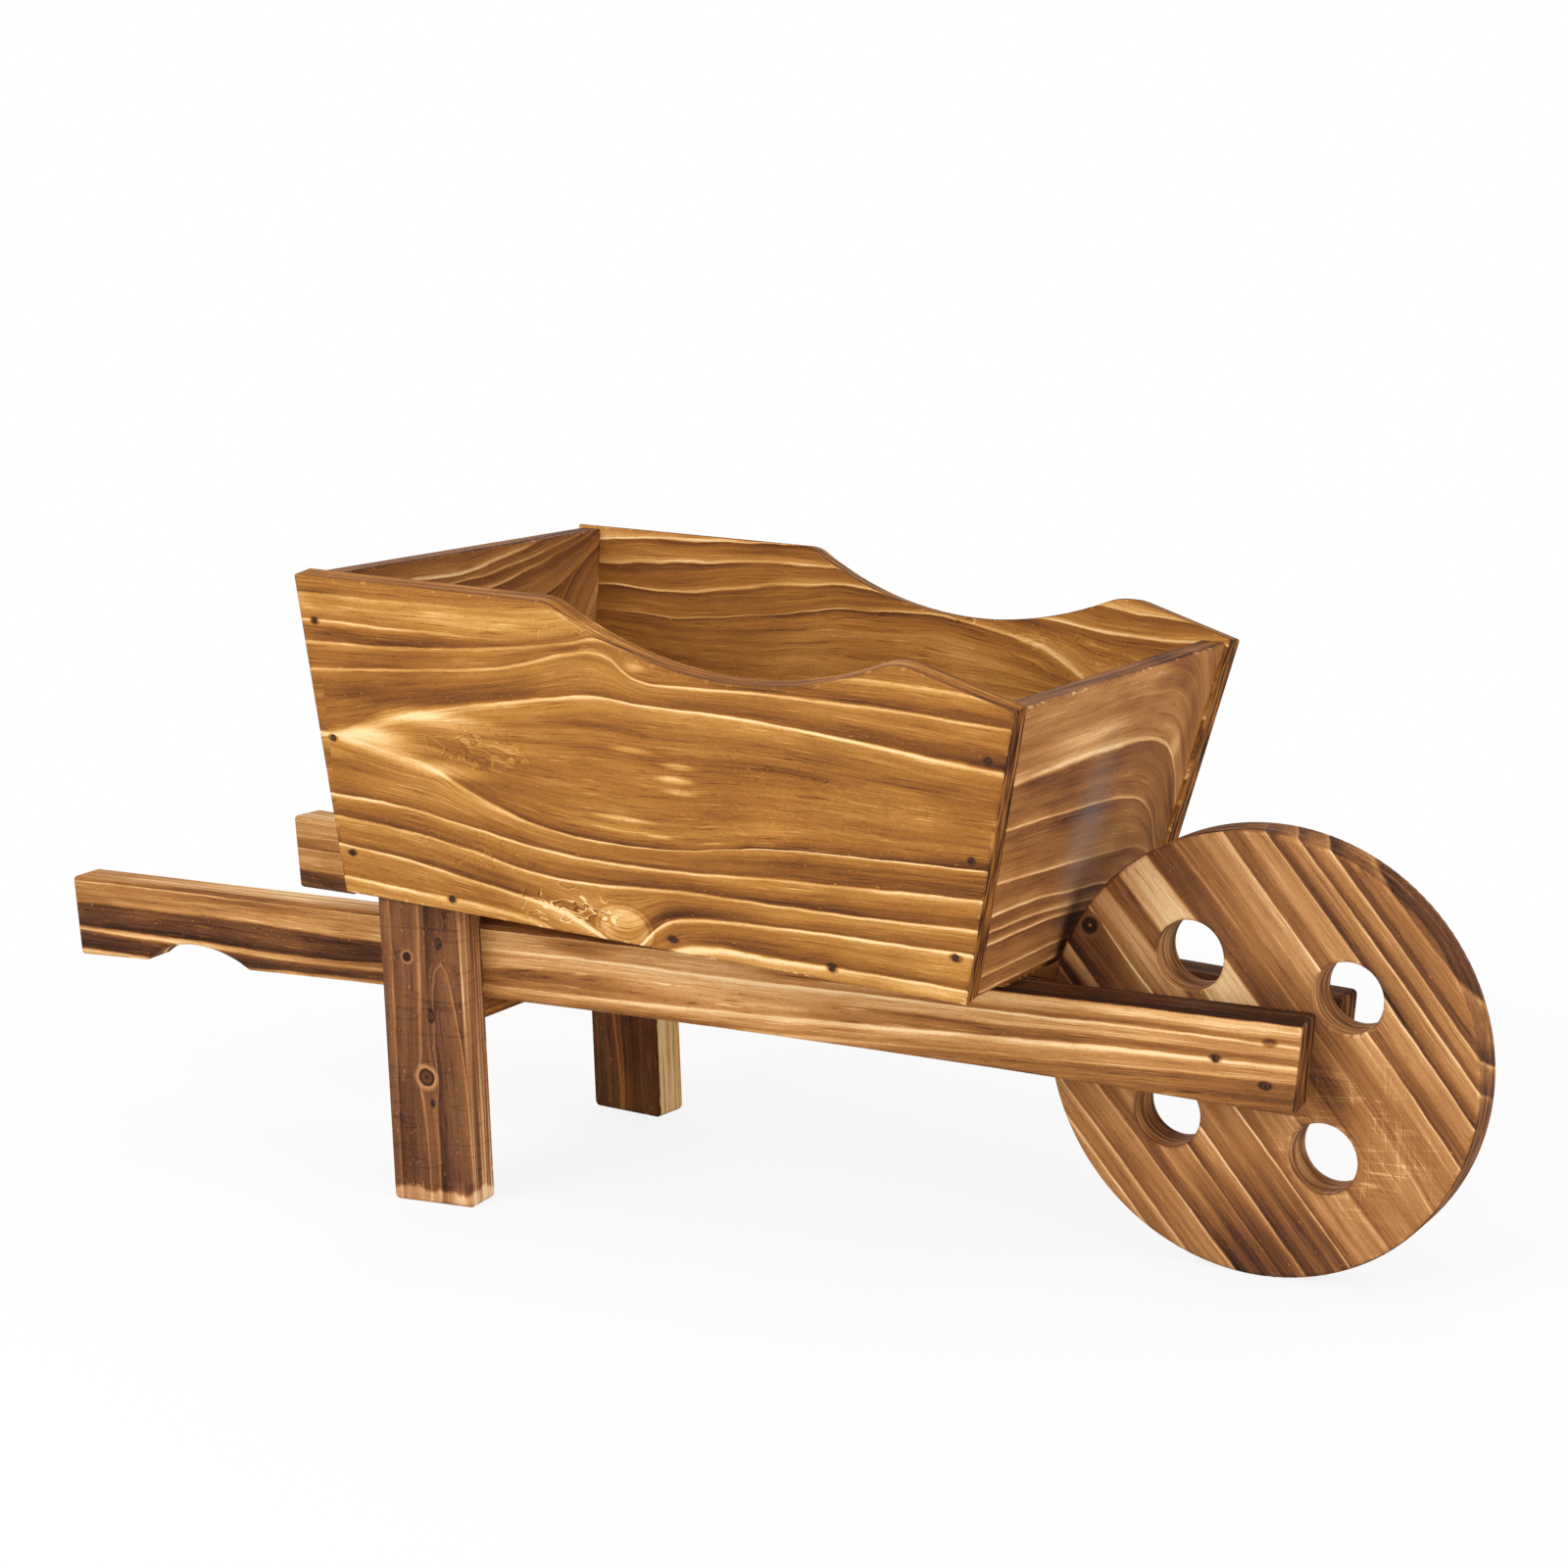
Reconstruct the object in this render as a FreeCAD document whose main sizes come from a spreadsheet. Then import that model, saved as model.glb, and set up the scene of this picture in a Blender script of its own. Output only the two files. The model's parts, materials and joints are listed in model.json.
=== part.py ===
"""A wooden wheelbarrow planter: a flared box on two splayed rails, with two legs and one wheel that turns.

Millimetres and degrees. +X runs from the handles to the wheel, +Z is up, and the origin lies on the ground
under the middle of the cart. Right is the -Y side and left the +Y side, as seen by someone who holds
the handles.
"""
import FreeCAD, Part
import math
import os

import Sketcher

# Driving dimensions: alias, value, meaning
DIMENSIONS = [
    ("overall_length", 900, "handle tips to the wheel's rim"),
    ("wheel_radius", 125, "wheel"),
    ("wheel_thickness", 27, "wheel"),
    ("wheel_rim_round", 2.5, "rounding of the wheel's rim edges"),
    ("wheel_hole_diameter", 39.5, "round holes through the wheel"),
    ("wheel_hole_circle", 65, "radius that the holes' centres lie on"),
    ("wheel_hole_count", 4, "number of holes"),
    ("wheel_hole_angle", 36, "first hole, from +X towards +Z"),
    ("wheel_hole_round", 1.2, "rounding of the holes' edges"),
    ("axle_diameter", 40, "wooden dowel that the wheel turns on"),
    ("axle_clearance", 0.08, "radial running clearance of the wheel on the dowel"),
    ("rail_height", 52, "rail section at both ends"),
    ("rail_hollow", 7, "rise of the rail's underside in the middle of its length"),
    ("rail_thickness", 26, "rail section"),
    ("rail_splay", 5.7, "angle of each rail to the cart's middle line, in plan"),
    ("rail_pitch", 1.85, "fall of the rails towards the wheel"),
    ("rail_top_rise", 30.75, "rail's top above the axle, at the axle"),
    ("rail_tip_reach", 36.5, "rail's top edge past the axle"),
    ("rail_end_lean", 4.5, "undercut of the rail's ends"),
    ("rail_tip_gap", 1.5, "rail's tip to the wheel's side"),
    ("rail_round", 3, "rounding of the rail's edges"),
    ("grip_distance", 94, "handle end to the top of the scoop under the grip"),
    ("grip_depth", 15.6, "top of that scoop above the rail's lower end corner"),
    ("grip_handle_radius", 57, "scoop's curve on the handle side"),
    ("grip_box_radius", 83, "scoop's curve on the box side"),
    ("leg_width", 57, "leg section, along the rail"),
    ("leg_thickness", 24.5, "leg section, across the rail"),
    ("leg_inset", 21, "box's handle end to the leg"),
    ("leg_round", 3.5, "rounding of the leg's edges"),
    ("crossbar_width", 46, "crossbar section, along the cart"),
    ("crossbar_thickness", 15, "crossbar section, upright"),
    ("crossbar_round", 1.5, "rounding of the crossbar's lower edges"),
    ("bearer_width", 40, "bearers, along the cart"),
    ("rear_bearer_height", 16, "bearer over the legs, at its middle"),
    ("front_bearer_height", 7.4, "bearer near the wheel, at its middle"),
    ("front_bearer_inset", 8, "wheel-end panel's foot to the front bearer"),
    ("wheel_box_gap", 4, "wheel's rim to the wheel-end panel's foot"),
    ("box_length", 424, "side panel's lower edge"),
    ("box_bottom_width", 243.5, "over the side panels' lower edges"),
    ("board_thickness", 15, "side and end panels"),
    ("board_round", 1.4, "rounding of the panels' edges"),
    ("side_flare", 8.35, "outward lean of the side panels"),
    ("handle_end_lean", 3.5, "outward lean of the handle-end panel"),
    ("wheel_end_lean", 12, "outward lean of the wheel-end panel"),
    ("end_setback", 3, "end panel's face behind the side panels' ends"),
    ("end_fit_gap", 0.1, "end panels and floor to the panels beside them"),
    ("shoulder_height", 198, "side panel at the handle end, along its slope"),
    ("shoulder_run", 175, "straight top edge at the handle end"),
    ("shoulder_radius", 20, "round corner after that edge"),
    ("scoop_radius", 226, "hollow of the top edge"),
    ("scoop_height", 163.5, "lowest point of the hollow, along the slope"),
    ("peak_radius", 32, "rounded peak after the hollow"),
    ("tail_slope", 15.6, "fall of the top edge from the peak to the wheel end"),
    ("tail_height", 167, "side panel at the wheel end, along its slope"),
    ("floor_thickness", 15, "floor boards"),
    ("floor_gap", 6, "drainage gap between floor boards"),
    ("nail_diameter", 2.4, "all nails"),
    ("nail_head_diameter", 4.4, "all nails"),
    ("nail_head_thickness", 0.9, "all nails"),
    ("side_nail_length", 30, "nails through the side panels"),
    ("side_nail_margin", 27, "end nails from the panel's top and bottom edges"),
    ("floor_edge_nail_height", 8, "nails into the floor's edge, above the panel's lower edge"),
    ("floor_edge_nail_margin", 82, "those nails from the ends of the lower edge"),
    ("leg_nail_length", 42, "nails through the legs"),
    ("leg_nail_margin", 8, "upper leg nail below the rail's top"),
    ("upper_leg_nail_offset", 14, "upper leg nail from the leg's middle, towards the wheel"),
    ("lower_leg_nail_offset", 6, "lower leg nail from the leg's middle, towards the wheel"),
    ("axle_nail_length", 40, "nails through the rails into the dowel"),
    ("axle_nail_radius", 15, "those nails from the dowel's middle"),
    ("axle_nail_angle", 23, "tilt of the line through each pair of them"),
    ("floor_nail_length", 21, "nails from the floor into the bearers"),
    ("floor_nail_spacing", 40, "between the two nails of one bearer"),
    ("screw_diameter", 4, "screws that hold the box on the rails"),
    ("screw_head_diameter", 8, "countersunk head"),
    ("screw_head_depth", 3, "countersunk head"),
    ("screw_length", 50, "from the floor's top into the rail"),
]

# Places that follow from the driving dimensions: alias, formula, meaning
LAYOUT = [
    ("axle_x", "dims.overall_length / 2 - dims.wheel_radius", "axle along the cart"),
    ("bore_radius", "dims.axle_diameter / 2 + dims.axle_clearance", "wheel's bore"),
    ("splay_tan", "tan(dims.rail_splay)", "widening of the rails per length along the cart"),
    ("rail_inner_y", "dims.wheel_thickness / 2 + dims.rail_tip_gap"
     " + dims.rail_tip_reach * sin(dims.rail_splay)", "rail's inner face at the axle"),
    ("rail_width_y", "dims.rail_thickness / cos(dims.rail_splay)", "rail's thickness across the cart"),
    ("rail_outer_y", "rail_inner_y + rail_width_y", "rail's outer face at the axle"),
    ("rail_start", "-(dims.overall_length / 2 + axle_x) / (cos(dims.rail_splay) * cos(dims.rail_pitch))",
     "handle end along the rail's top, from the axle"),
    ("rail_undercut", "dims.rail_height * tan(dims.rail_end_lean)",
     "lower end corners behind the upper ones"),
    ("rail_top_z", "dims.wheel_radius + dims.rail_top_rise", "rail's top at the axle"),
    ("hollow_half", "(dims.rail_tip_reach - rail_start) / 2 - rail_undercut", "half the underside's length"),
    ("hollow_middle", "(dims.rail_tip_reach + rail_start) / 2", "middle of the underside, from the axle"),
    ("hollow_radius", "(hollow_half^2 + dims.rail_hollow^2) / (2 * dims.rail_hollow)",
     "curve of the underside"),
    ("rail_fall", "tan(dims.rail_pitch) * cos(dims.rail_splay)",
     "fall of the rails per length along the cart"),
    ("rail_cant", "tan(dims.rail_pitch) * sin(dims.rail_splay)", "rise of the rails per width, outwards"),
    ("foot_rise", "dims.rail_top_rise + (dims.wheel_radius + dims.wheel_box_gap) * rail_fall"
     " + dims.front_bearer_height", "axle up to the wheel-end panel's foot"),
    ("wheel_end_x", "axle_x - sqrt((dims.wheel_radius + dims.wheel_box_gap)^2 - foot_rise^2)",
     "wheel-end panel's foot"),
    ("leg_x", "wheel_end_x + dims.end_setback - dims.box_length + dims.leg_inset + dims.leg_width / 2",
     "middle of the legs, the crossbar and the rear bearer"),
    ("leg_y", "rail_outer_y + (axle_x - leg_x) * splay_tan", "rail's outer face at the legs"),
    ("front_bearer_x", "wheel_end_x - dims.front_bearer_inset - dims.bearer_width / 2",
     "middle of that bearer"),
    ("rear_bearer_y", "leg_y - dims.bearer_width / 2 * splay_tan - dims.end_fit_gap", "half its length"),
    ("front_bearer_y", "rail_outer_y + (axle_x - front_bearer_x - dims.bearer_width / 2) * splay_tan",
     "half its length"),
    ("rear_seat_z", "rail_top_z + (axle_x - leg_x) * rail_fall"
     " + (rear_bearer_y - rail_inner_y) * rail_cant", "rails' tops under the rear bearer"),
    ("front_seat_z", "rail_top_z + (axle_x - front_bearer_x) * rail_fall"
     " + (front_bearer_y - rail_inner_y) * rail_cant", "rails' tops under the front bearer"),
    ("box_fall", "(rear_seat_z + dims.rear_bearer_height - front_seat_z - dims.front_bearer_height)"
     " / (front_bearer_x - leg_x)", "fall of the box's underside per length along the cart"),
    ("box_pitch", "atan(box_fall) / 1 deg", "the same as an angle"),
    ("box_x", "wheel_end_x - (dims.box_length - dims.end_setback) * cos(box_pitch)",
     "handle end of the underside"),
    ("box_z", "rear_seat_z + dims.rear_bearer_height + (leg_x - box_x) * box_fall", "height of that end"),
    ("leg_top_x", "leg_x + dims.leg_thickness * sin(dims.rail_splay)", "where the leg's top is measured"),
    ("leg_half_x", "dims.leg_width / 2 * cos(dims.rail_splay)", "half the leg's width along the cart"),
    ("leg_top_z", "box_z - (leg_top_x - box_x) * box_fall", "underside of the box over the leg's middle"),
    ("crossbar_handle_u", "(leg_x - dims.crossbar_width / 2 - axle_x) / cos(dims.rail_splay)"
     " / cos(dims.rail_pitch) + dims.rail_height * tan(dims.rail_pitch)",
     "crossbar's handle edge along the rail"),
    ("crossbar_wheel_u", "crossbar_handle_u + dims.crossbar_width / cos(dims.rail_splay)"
     " / cos(dims.rail_pitch)", "crossbar's wheel edge along the rail"),
    ("crossbar_handle_rise", "dims.rail_hollow * (1 - ((crossbar_handle_u - hollow_middle) / hollow_half)^2)",
     "rise of the hollow at the handle edge"),
    ("crossbar_wheel_rise", "dims.rail_hollow * (1 - ((crossbar_wheel_u - hollow_middle) / hollow_half)^2)",
     "rise of the hollow at the wheel edge"),
    ("crossbar_handle_z", "rail_top_z - crossbar_handle_u * sin(dims.rail_pitch)"
     " + (crossbar_handle_rise - dims.rail_height) * cos(dims.rail_pitch)", "rails' undersides there"),
    ("crossbar_wheel_z", "rail_top_z - crossbar_wheel_u * sin(dims.rail_pitch)"
     " + (crossbar_wheel_rise - dims.rail_height) * cos(dims.rail_pitch)", "rails' undersides there"),
    ("crossbar_z", "(crossbar_handle_z + crossbar_wheel_z) / 2", "crossbar's top at its middle"),
    ("crossbar_pitch", "atan((crossbar_handle_z - crossbar_wheel_z) / dims.crossbar_width) / 1 deg",
     "fall of the crossbar's top"),
    ("handle_end_height", "dims.shoulder_height * cos(dims.side_flare)",
     "handle-end panel, square to the floor"),
    ("wheel_end_height", "dims.tail_height * cos(dims.side_flare)", "wheel-end panel, square to the floor"),
    ("inside_half_width", "dims.box_bottom_width / 2 - dims.board_thickness / cos(dims.side_flare)"
     " - dims.end_fit_gap", "between the side panels at the underside"),
    ("handle_end_depth", "dims.board_thickness / cos(dims.handle_end_lean)",
     "handle-end panel along the floor"),
    ("wheel_end_depth", "dims.board_thickness / cos(dims.wheel_end_lean)", "wheel-end panel along the floor"),
    ("floor_start", "dims.end_setback + handle_end_depth + dims.end_fit_gap", "floor boards' lower edge"),
    ("floor_end", "dims.box_length - dims.end_setback - wheel_end_depth - dims.end_fit_gap",
     "the same, wheel end"),
    ("floor_board_width", "(2 * inside_half_width - 2 * dims.floor_gap) / 3",
     "floor boards, at the underside"),
    ("rear_bearer_u", "(leg_x - box_x) / cos(box_pitch)", "rear bearer's middle along the floor"),
    ("front_bearer_u", "(front_bearer_x - box_x) / cos(box_pitch)", "front bearer's middle along the floor"),
    ("rail_middle_y", "rail_inner_y + rail_width_y / 2", "rail's middle at the axle"),
    ("nail_line_handle", "tan(dims.handle_end_lean) * cos(dims.side_flare)",
     "lean of the handle-end nail line"),
    ("nail_line_wheel", "tan(dims.wheel_end_lean) * cos(dims.side_flare)", "lean of the wheel-end nail line"),
]

SIDES = (("right", -1), ("left", 1))

doc = FreeCAD.newDocument("wheelbarrow_planter")


def add_sheet(name, rows, prefix=""):
    """A spreadsheet with one meaning and one aliased value on each row."""
    sheet = doc.addObject("Spreadsheet::Sheet", name)
    for row, (alias, value, meaning) in enumerate(rows, start=1):
        sheet.set(f"A{row}", meaning)
        sheet.set(f"B{row}", f"{prefix}{value}")
        sheet.setAlias(f"B{row}", alias)
    doc.recompute()
    return sheet


add_sheet("dims", DIMENSIONS)
layout = add_sheet("layout", LAYOUT, prefix="=")


def value_of(expression):
    """The number that an expression of the sheets has now."""
    result = layout.evalExpression(str(expression))
    return float(getattr(result, "Value", result))


def placement(x="0", y="0", z="0", axis=(0, 0, 1), angle="0"):
    """The expression of a placement, with one turn about an axis."""
    turn = f"create(<<rotation>>; create(<<vector>>; {axis[0]}; {axis[1]}; {axis[2]}); {angle})"
    return f"create(<<placement>>; create(<<vector>>; {x}; {y}; {z}); {turn})"


def add_frame(name, expression):
    """A local coordinate system that bodies are placed in."""
    frame = doc.addObject("Part::LocalCoordinateSystem", name)
    frame.setExpression("Placement", expression)
    return frame


def add_body(name, expression):
    body = doc.addObject("PartDesign::Body", name)
    body.setExpression("Placement", expression)
    return body


def add_sketch(body, plane, name):
    """An empty sketch on one of the body's own origin planes."""
    sketch = body.newObject("Sketcher::SketchObject", f"{body.Name}_{name}")
    support = [feature for feature in body.Origin.OriginFeatures if feature.Role == plane][0]
    sketch.AttachmentSupport = [(support, "")]
    sketch.MapMode = "FlatFace"
    return sketch


def constrain(sketch, kind, *where, expression=None):
    """One constraint; with an expression its value follows the sheets."""
    if expression is None:
        return sketch.addConstraint(Sketcher.Constraint(kind, *where))
    value = value_of(expression)
    if kind == "Angle":
        value = math.radians(value)
        expression = f"({expression}) * 1 deg"
    index = sketch.addConstraint(Sketcher.Constraint(kind, *where, value))
    sketch.setExpression(f"Constraints[{index}]", expression)
    return index


def fix_point(sketch, geometry, position, x, y):
    """Holds a point of the sketch at two expressions, measured from the sketch's origin."""
    constrain(sketch, "DistanceX", -1, 1, geometry, position, expression=x)
    constrain(sketch, "DistanceY", -1, 1, geometry, position, expression=y)


def line(sketch, start, end):
    return sketch.addGeometry(Part.LineSegment(FreeCAD.Vector(*start, 0), FreeCAD.Vector(*end, 0)))


def arc(sketch, centre, radius, start_degrees, end_degrees):
    circle = Part.Circle(FreeCAD.Vector(*centre, 0), FreeCAD.Vector(0, 0, 1), radius)
    start = math.radians(start_degrees)
    end = math.radians(end_degrees)
    return sketch.addGeometry(Part.ArcOfCircle(circle, start, end))


def polygon(sketch, corners):
    """A closed outline through corners whose coordinates are expressions."""
    points = [(value_of(x), value_of(y)) for x, y in corners]
    count = len(points)
    edges = [line(sketch, points[i], points[(i + 1) % count]) for i in range(count)]
    for i, (x, y) in enumerate(corners):
        constrain(sketch, "Coincident", edges[i - 1], 2, edges[i], 1)
        fix_point(sketch, edges[i], 1, x, y)


def circles(sketch, diameter, centres):
    """Circles of one diameter about centres whose coordinates are expressions."""
    for x, y in centres:
        centre = FreeCAD.Vector(value_of(x), value_of(y), 0)
        circle = sketch.addGeometry(Part.Circle(centre, FreeCAD.Vector(0, 0, 1), value_of(diameter) / 2))
        fix_point(sketch, circle, 3, x, y)
        constrain(sketch, "Diameter", circle, expression=diameter)


def pad(body, sketch, length, reverse=False, symmetric=False):
    feature = body.newObject("PartDesign::Pad", f"{sketch.Name}_pad")
    feature.Profile = sketch
    feature.setExpression("Length", length)
    feature.Reversed = reverse
    if symmetric:
        feature.SideType = "Symmetric"
    doc.recompute()
    return feature


def is_sharp(shape, edge):
    """True where the two faces beside an edge meet at an angle."""
    faces = shape.ancestorsOfType(edge, Part.Face)
    if len(faces) != 2:
        return False
    middle = edge.valueAt((edge.FirstParameter + edge.LastParameter) / 2)
    normals = [face.normalAt(*face.Surface.parameter(middle)) for face in faces]
    return normals[0].dot(normals[1]) < math.cos(math.radians(10))


def round_edges(body, feature, radius, wanted=lambda edge: True):
    """Rounds the sharp edges of a body that are wanted."""
    shape = feature.Shape
    names = []
    for index, edge in enumerate(shape.Edges, start=1):
        if is_sharp(shape, edge) and wanted(edge):
            names.append(f"Edge{index}")
    fillet = body.newObject("PartDesign::Fillet", f"{body.Name}_rounding")
    fillet.Base = (feature, names)
    fillet.setExpression("Radius", radius)
    doc.recompute()
    return fillet


def add_nails(name, place, plane, centres, length, reverse):
    """A group of separate nails that are driven from one face, in one direction."""
    body = add_body(name, place)
    shanks = add_sketch(body, plane, "shanks")
    circles(shanks, "dims.nail_diameter", centres)
    pad(body, shanks, length, reverse)
    heads = add_sketch(body, plane, "heads")
    circles(heads, "dims.nail_head_diameter", centres)
    pad(body, heads, "dims.nail_head_thickness", reverse)
    return body


def drilled(name, blank, fasteners):
    """A blank with the holes that its fasteners make, under the piece's own name."""
    piece = blank
    for fastener in fasteners:
        cut = doc.addObject("Part::Cut", f"{name}_hole_{fastener.Name}")
        cut.Base = piece
        cut.Tool = fastener
        piece = cut
    piece.Label = name
    return piece


# Frames that the pieces are built in
add_frame("box_frame", placement("layout.box_x", "0", "layout.box_z", (0, 1, 0), "layout.box_pitch"))
for side, sign in SIDES:
    tilt = placement(y=f"{sign} * dims.box_bottom_width / 2", axis=(1, 0, 0),
                     angle=f"{-sign} * dims.side_flare")
    add_frame(f"{side}_panel_frame", f"box_frame.Placement * {tilt}")
    at_axle = placement("layout.axle_x", f"{sign} * layout.rail_inner_y", "layout.rail_top_z",
                        angle=f"{-sign} * dims.rail_splay")
    add_frame(f"{side}_rail_frame", f"{at_axle} * {placement(axis=(0, 1, 0), angle='dims.rail_pitch')}")
    add_frame(f"{side}_leg_frame", placement("layout.leg_x", f"{sign} * layout.leg_y", "0",
                                             angle=f"{-sign} * dims.rail_splay"))
doc.recompute()


def side_panel(side, sign):
    """A flared board: straight shoulder, round corner, hollow, peak and a straight fall to the wheel end."""
    body = add_body(f"{side}_side_panel_blank", f"{side}_panel_frame.Placement")
    sketch = add_sketch(body, "XZ_Plane", "outline")
    length = value_of("dims.box_length")
    shoulder = value_of("dims.shoulder_height")
    shoulder_left = value_of("-dims.shoulder_height * layout.nail_line_handle")
    shoulder_right = shoulder_left + value_of("dims.shoulder_run")
    corner = value_of("dims.shoulder_radius")
    hollow = value_of("dims.scoop_radius")
    hollow_y = value_of("dims.scoop_height") + hollow
    hollow_x = shoulder_right + math.sqrt((hollow + corner) ** 2 - (hollow_y - shoulder + corner) ** 2)
    corner_end = math.degrees(math.atan2(hollow_y - shoulder + corner, hollow_x - shoulder_right))
    tail = value_of("dims.tail_height")
    tail_x = value_of("dims.box_length + dims.tail_height * layout.nail_line_wheel")
    slope = value_of("dims.tail_slope")
    peak = value_of("dims.peak_radius")
    # The peak's centre lies one radius under the tail's line and outside the hollow by the sum of both radii
    along = (-math.cos(math.radians(slope)), math.sin(math.radians(slope)))
    foot = (tail_x - peak * along[1], tail + peak * along[0])
    offset = (foot[0] - hollow_x, foot[1] - hollow_y)
    forward = offset[0] * along[0] + offset[1] * along[1]
    outside = offset[0] ** 2 + offset[1] ** 2 - (hollow + peak) ** 2
    run = -forward - math.sqrt(forward ** 2 - outside)
    peak_centre = (foot[0] + run * along[0], foot[1] + run * along[1])
    peak_end = math.degrees(math.atan2(hollow_y - peak_centre[1], hollow_x - peak_centre[0]))

    def on_peak(degrees):
        angle = math.radians(degrees)
        return peak_centre[0] + peak * math.cos(angle), peak_centre[1] + peak * math.sin(angle)

    bottom = line(sketch, (0, 0), (length, 0))
    wheel_end = line(sketch, (length, 0), (tail_x, tail))
    tail_line = line(sketch, (tail_x, tail), on_peak(90 - slope))
    peak_arc = arc(sketch, peak_centre, peak, 90 - slope, peak_end)
    hollow_arc = arc(sketch, (hollow_x, hollow_y), hollow, 180 + corner_end, 180 + peak_end)
    corner_arc = arc(sketch, (shoulder_right, shoulder - corner), corner, corner_end, 90)
    top = line(sketch, (shoulder_right, shoulder), (shoulder_left, shoulder))
    handle_end = line(sketch, (shoulder_left, shoulder), (0, 0))
    constrain(sketch, "Coincident", bottom, 1, -1, 1)
    constrain(sketch, "Coincident", bottom, 2, wheel_end, 1)
    constrain(sketch, "Coincident", wheel_end, 2, tail_line, 1)
    constrain(sketch, "Tangent", tail_line, 2, peak_arc, 1)
    constrain(sketch, "Tangent", peak_arc, 2, hollow_arc, 2)
    constrain(sketch, "Tangent", hollow_arc, 1, corner_arc, 1)
    constrain(sketch, "Tangent", corner_arc, 2, top, 1)
    constrain(sketch, "Coincident", top, 2, handle_end, 1)
    constrain(sketch, "Coincident", handle_end, 2, bottom, 1)
    constrain(sketch, "Horizontal", top)
    fix_point(sketch, bottom, 2, "dims.box_length", "0")
    fix_point(sketch, wheel_end, 2,
              "dims.box_length + dims.tail_height * layout.nail_line_wheel", "dims.tail_height")
    fix_point(sketch, top, 2, "-dims.shoulder_height * layout.nail_line_handle", "dims.shoulder_height")
    constrain(sketch, "DistanceX", top, 2, top, 1, expression="dims.shoulder_run")
    constrain(sketch, "Radius", corner_arc, expression="dims.shoulder_radius")
    constrain(sketch, "Radius", hollow_arc, expression="dims.scoop_radius")
    constrain(sketch, "DistanceY", -1, 1, hollow_arc, 3, expression="dims.scoop_height + dims.scoop_radius")
    constrain(sketch, "Radius", peak_arc, expression="dims.peak_radius")
    constrain(sketch, "Angle", tail_line, expression="180 - dims.tail_slope")
    board = pad(body, sketch, "dims.board_thickness", reverse=sign < 0)
    round_edges(body, board, "dims.board_round")
    return body


def end_panel(name, foot, depth, height, lean):
    """A leaning board between the side panels, whose edges follow their flare."""
    body = add_body(f"{name}_blank", f"box_frame.Placement * {placement(axis=(1, 0, 0), angle='90')}")
    wedge = body.newObject("PartDesign::AdditiveWedge", f"{name}_wedge")
    half_top = f"(layout.inside_half_width + {height} * tan(dims.side_flare))"
    top_foot = f"({foot} + {height} * tan({lean}))"
    sizes = {
        "Xmin": foot, "Xmax": f"{foot} + {depth}", "X2min": top_foot, "X2max": f"{top_foot} + {depth}",
        "Ymin": "0", "Ymax": height,
        "Zmin": "-layout.inside_half_width", "Zmax": "layout.inside_half_width",
        "Z2min": f"-{half_top}", "Z2max": half_top,
    }
    for size, expression in sizes.items():
        wedge.setExpression(size, expression)
    doc.recompute()

    def runs_across(edge):
        return abs(edge.tangentAt(edge.FirstParameter).z) > 0.99

    round_edges(body, wedge, "dims.board_round", runs_across)
    return body


def floor_board(name, inner, outer, outer_slope):
    """One floor board, given by its two edges; an outer edge is bevelled to the side panel's flare."""
    body = add_body(f"{name}_blank", f"box_frame.Placement * {placement(axis=(1, 0, 0), angle='90')}")
    wedge = body.newObject("PartDesign::AdditiveWedge", f"{name}_wedge")
    rise = "dims.floor_thickness"
    sizes = {
        "Xmin": "layout.floor_start", "Xmax": "layout.floor_end",
        "X2min": f"layout.floor_start - {rise} * tan(dims.handle_end_lean)",
        "X2max": f"layout.floor_end + {rise} * tan(dims.wheel_end_lean)",
        "Ymin": "0", "Ymax": rise,
        "Zmin": inner, "Zmax": outer,
        "Z2min": f"{inner} - {outer_slope[0]} * {rise} * tan(dims.side_flare)",
        "Z2max": f"{outer} + {outer_slope[1]} * {rise} * tan(dims.side_flare)",
    }
    for size, expression in sizes.items():
        wedge.setExpression(size, expression)
    doc.recompute()
    return body


def rail(side, sign):
    """A long bar with a hollow underside and a scoop under the grip, which passes close to the wheel."""
    body = add_body(f"{side}_rail_blank", f"{side}_rail_frame.Placement")
    sketch = add_sketch(body, "XZ_Plane", "outline")
    start = value_of("layout.rail_start")
    tip = value_of("dims.rail_tip_reach")
    foot = value_of("-dims.rail_height")
    undercut = value_of("layout.rail_undercut")
    radius = value_of("layout.hollow_radius")
    half_angle = math.degrees(math.asin(value_of("layout.hollow_half") / radius))
    centre = (value_of("layout.hollow_middle"), foot + value_of("dims.rail_hollow") - radius)
    top = line(sketch, (tip, 0), (start, 0))
    handle_end = line(sketch, (start, 0), (start + undercut, foot))
    underside = arc(sketch, centre, radius, 90 - half_angle, 90 + half_angle)
    wheel_end = line(sketch, (tip - undercut, foot), (tip, 0))
    constrain(sketch, "Coincident", top, 2, handle_end, 1)
    constrain(sketch, "Coincident", handle_end, 2, underside, 2)
    constrain(sketch, "Coincident", underside, 1, wheel_end, 1)
    constrain(sketch, "Coincident", wheel_end, 2, top, 1)
    fix_point(sketch, top, 1, "dims.rail_tip_reach", "0")
    fix_point(sketch, top, 2, "layout.rail_start", "0")
    fix_point(sketch, handle_end, 2, "layout.rail_start + layout.rail_undercut", "-dims.rail_height")
    fix_point(sketch, wheel_end, 1, "dims.rail_tip_reach - layout.rail_undercut", "-dims.rail_height")
    constrain(sketch, "Radius", underside, expression="layout.hollow_radius")
    pad(body, sketch, "dims.rail_thickness", reverse=sign > 0)
    scoop = grip_scoop(body)
    round_edges(body, scoop, "dims.rail_round")
    return body


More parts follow.
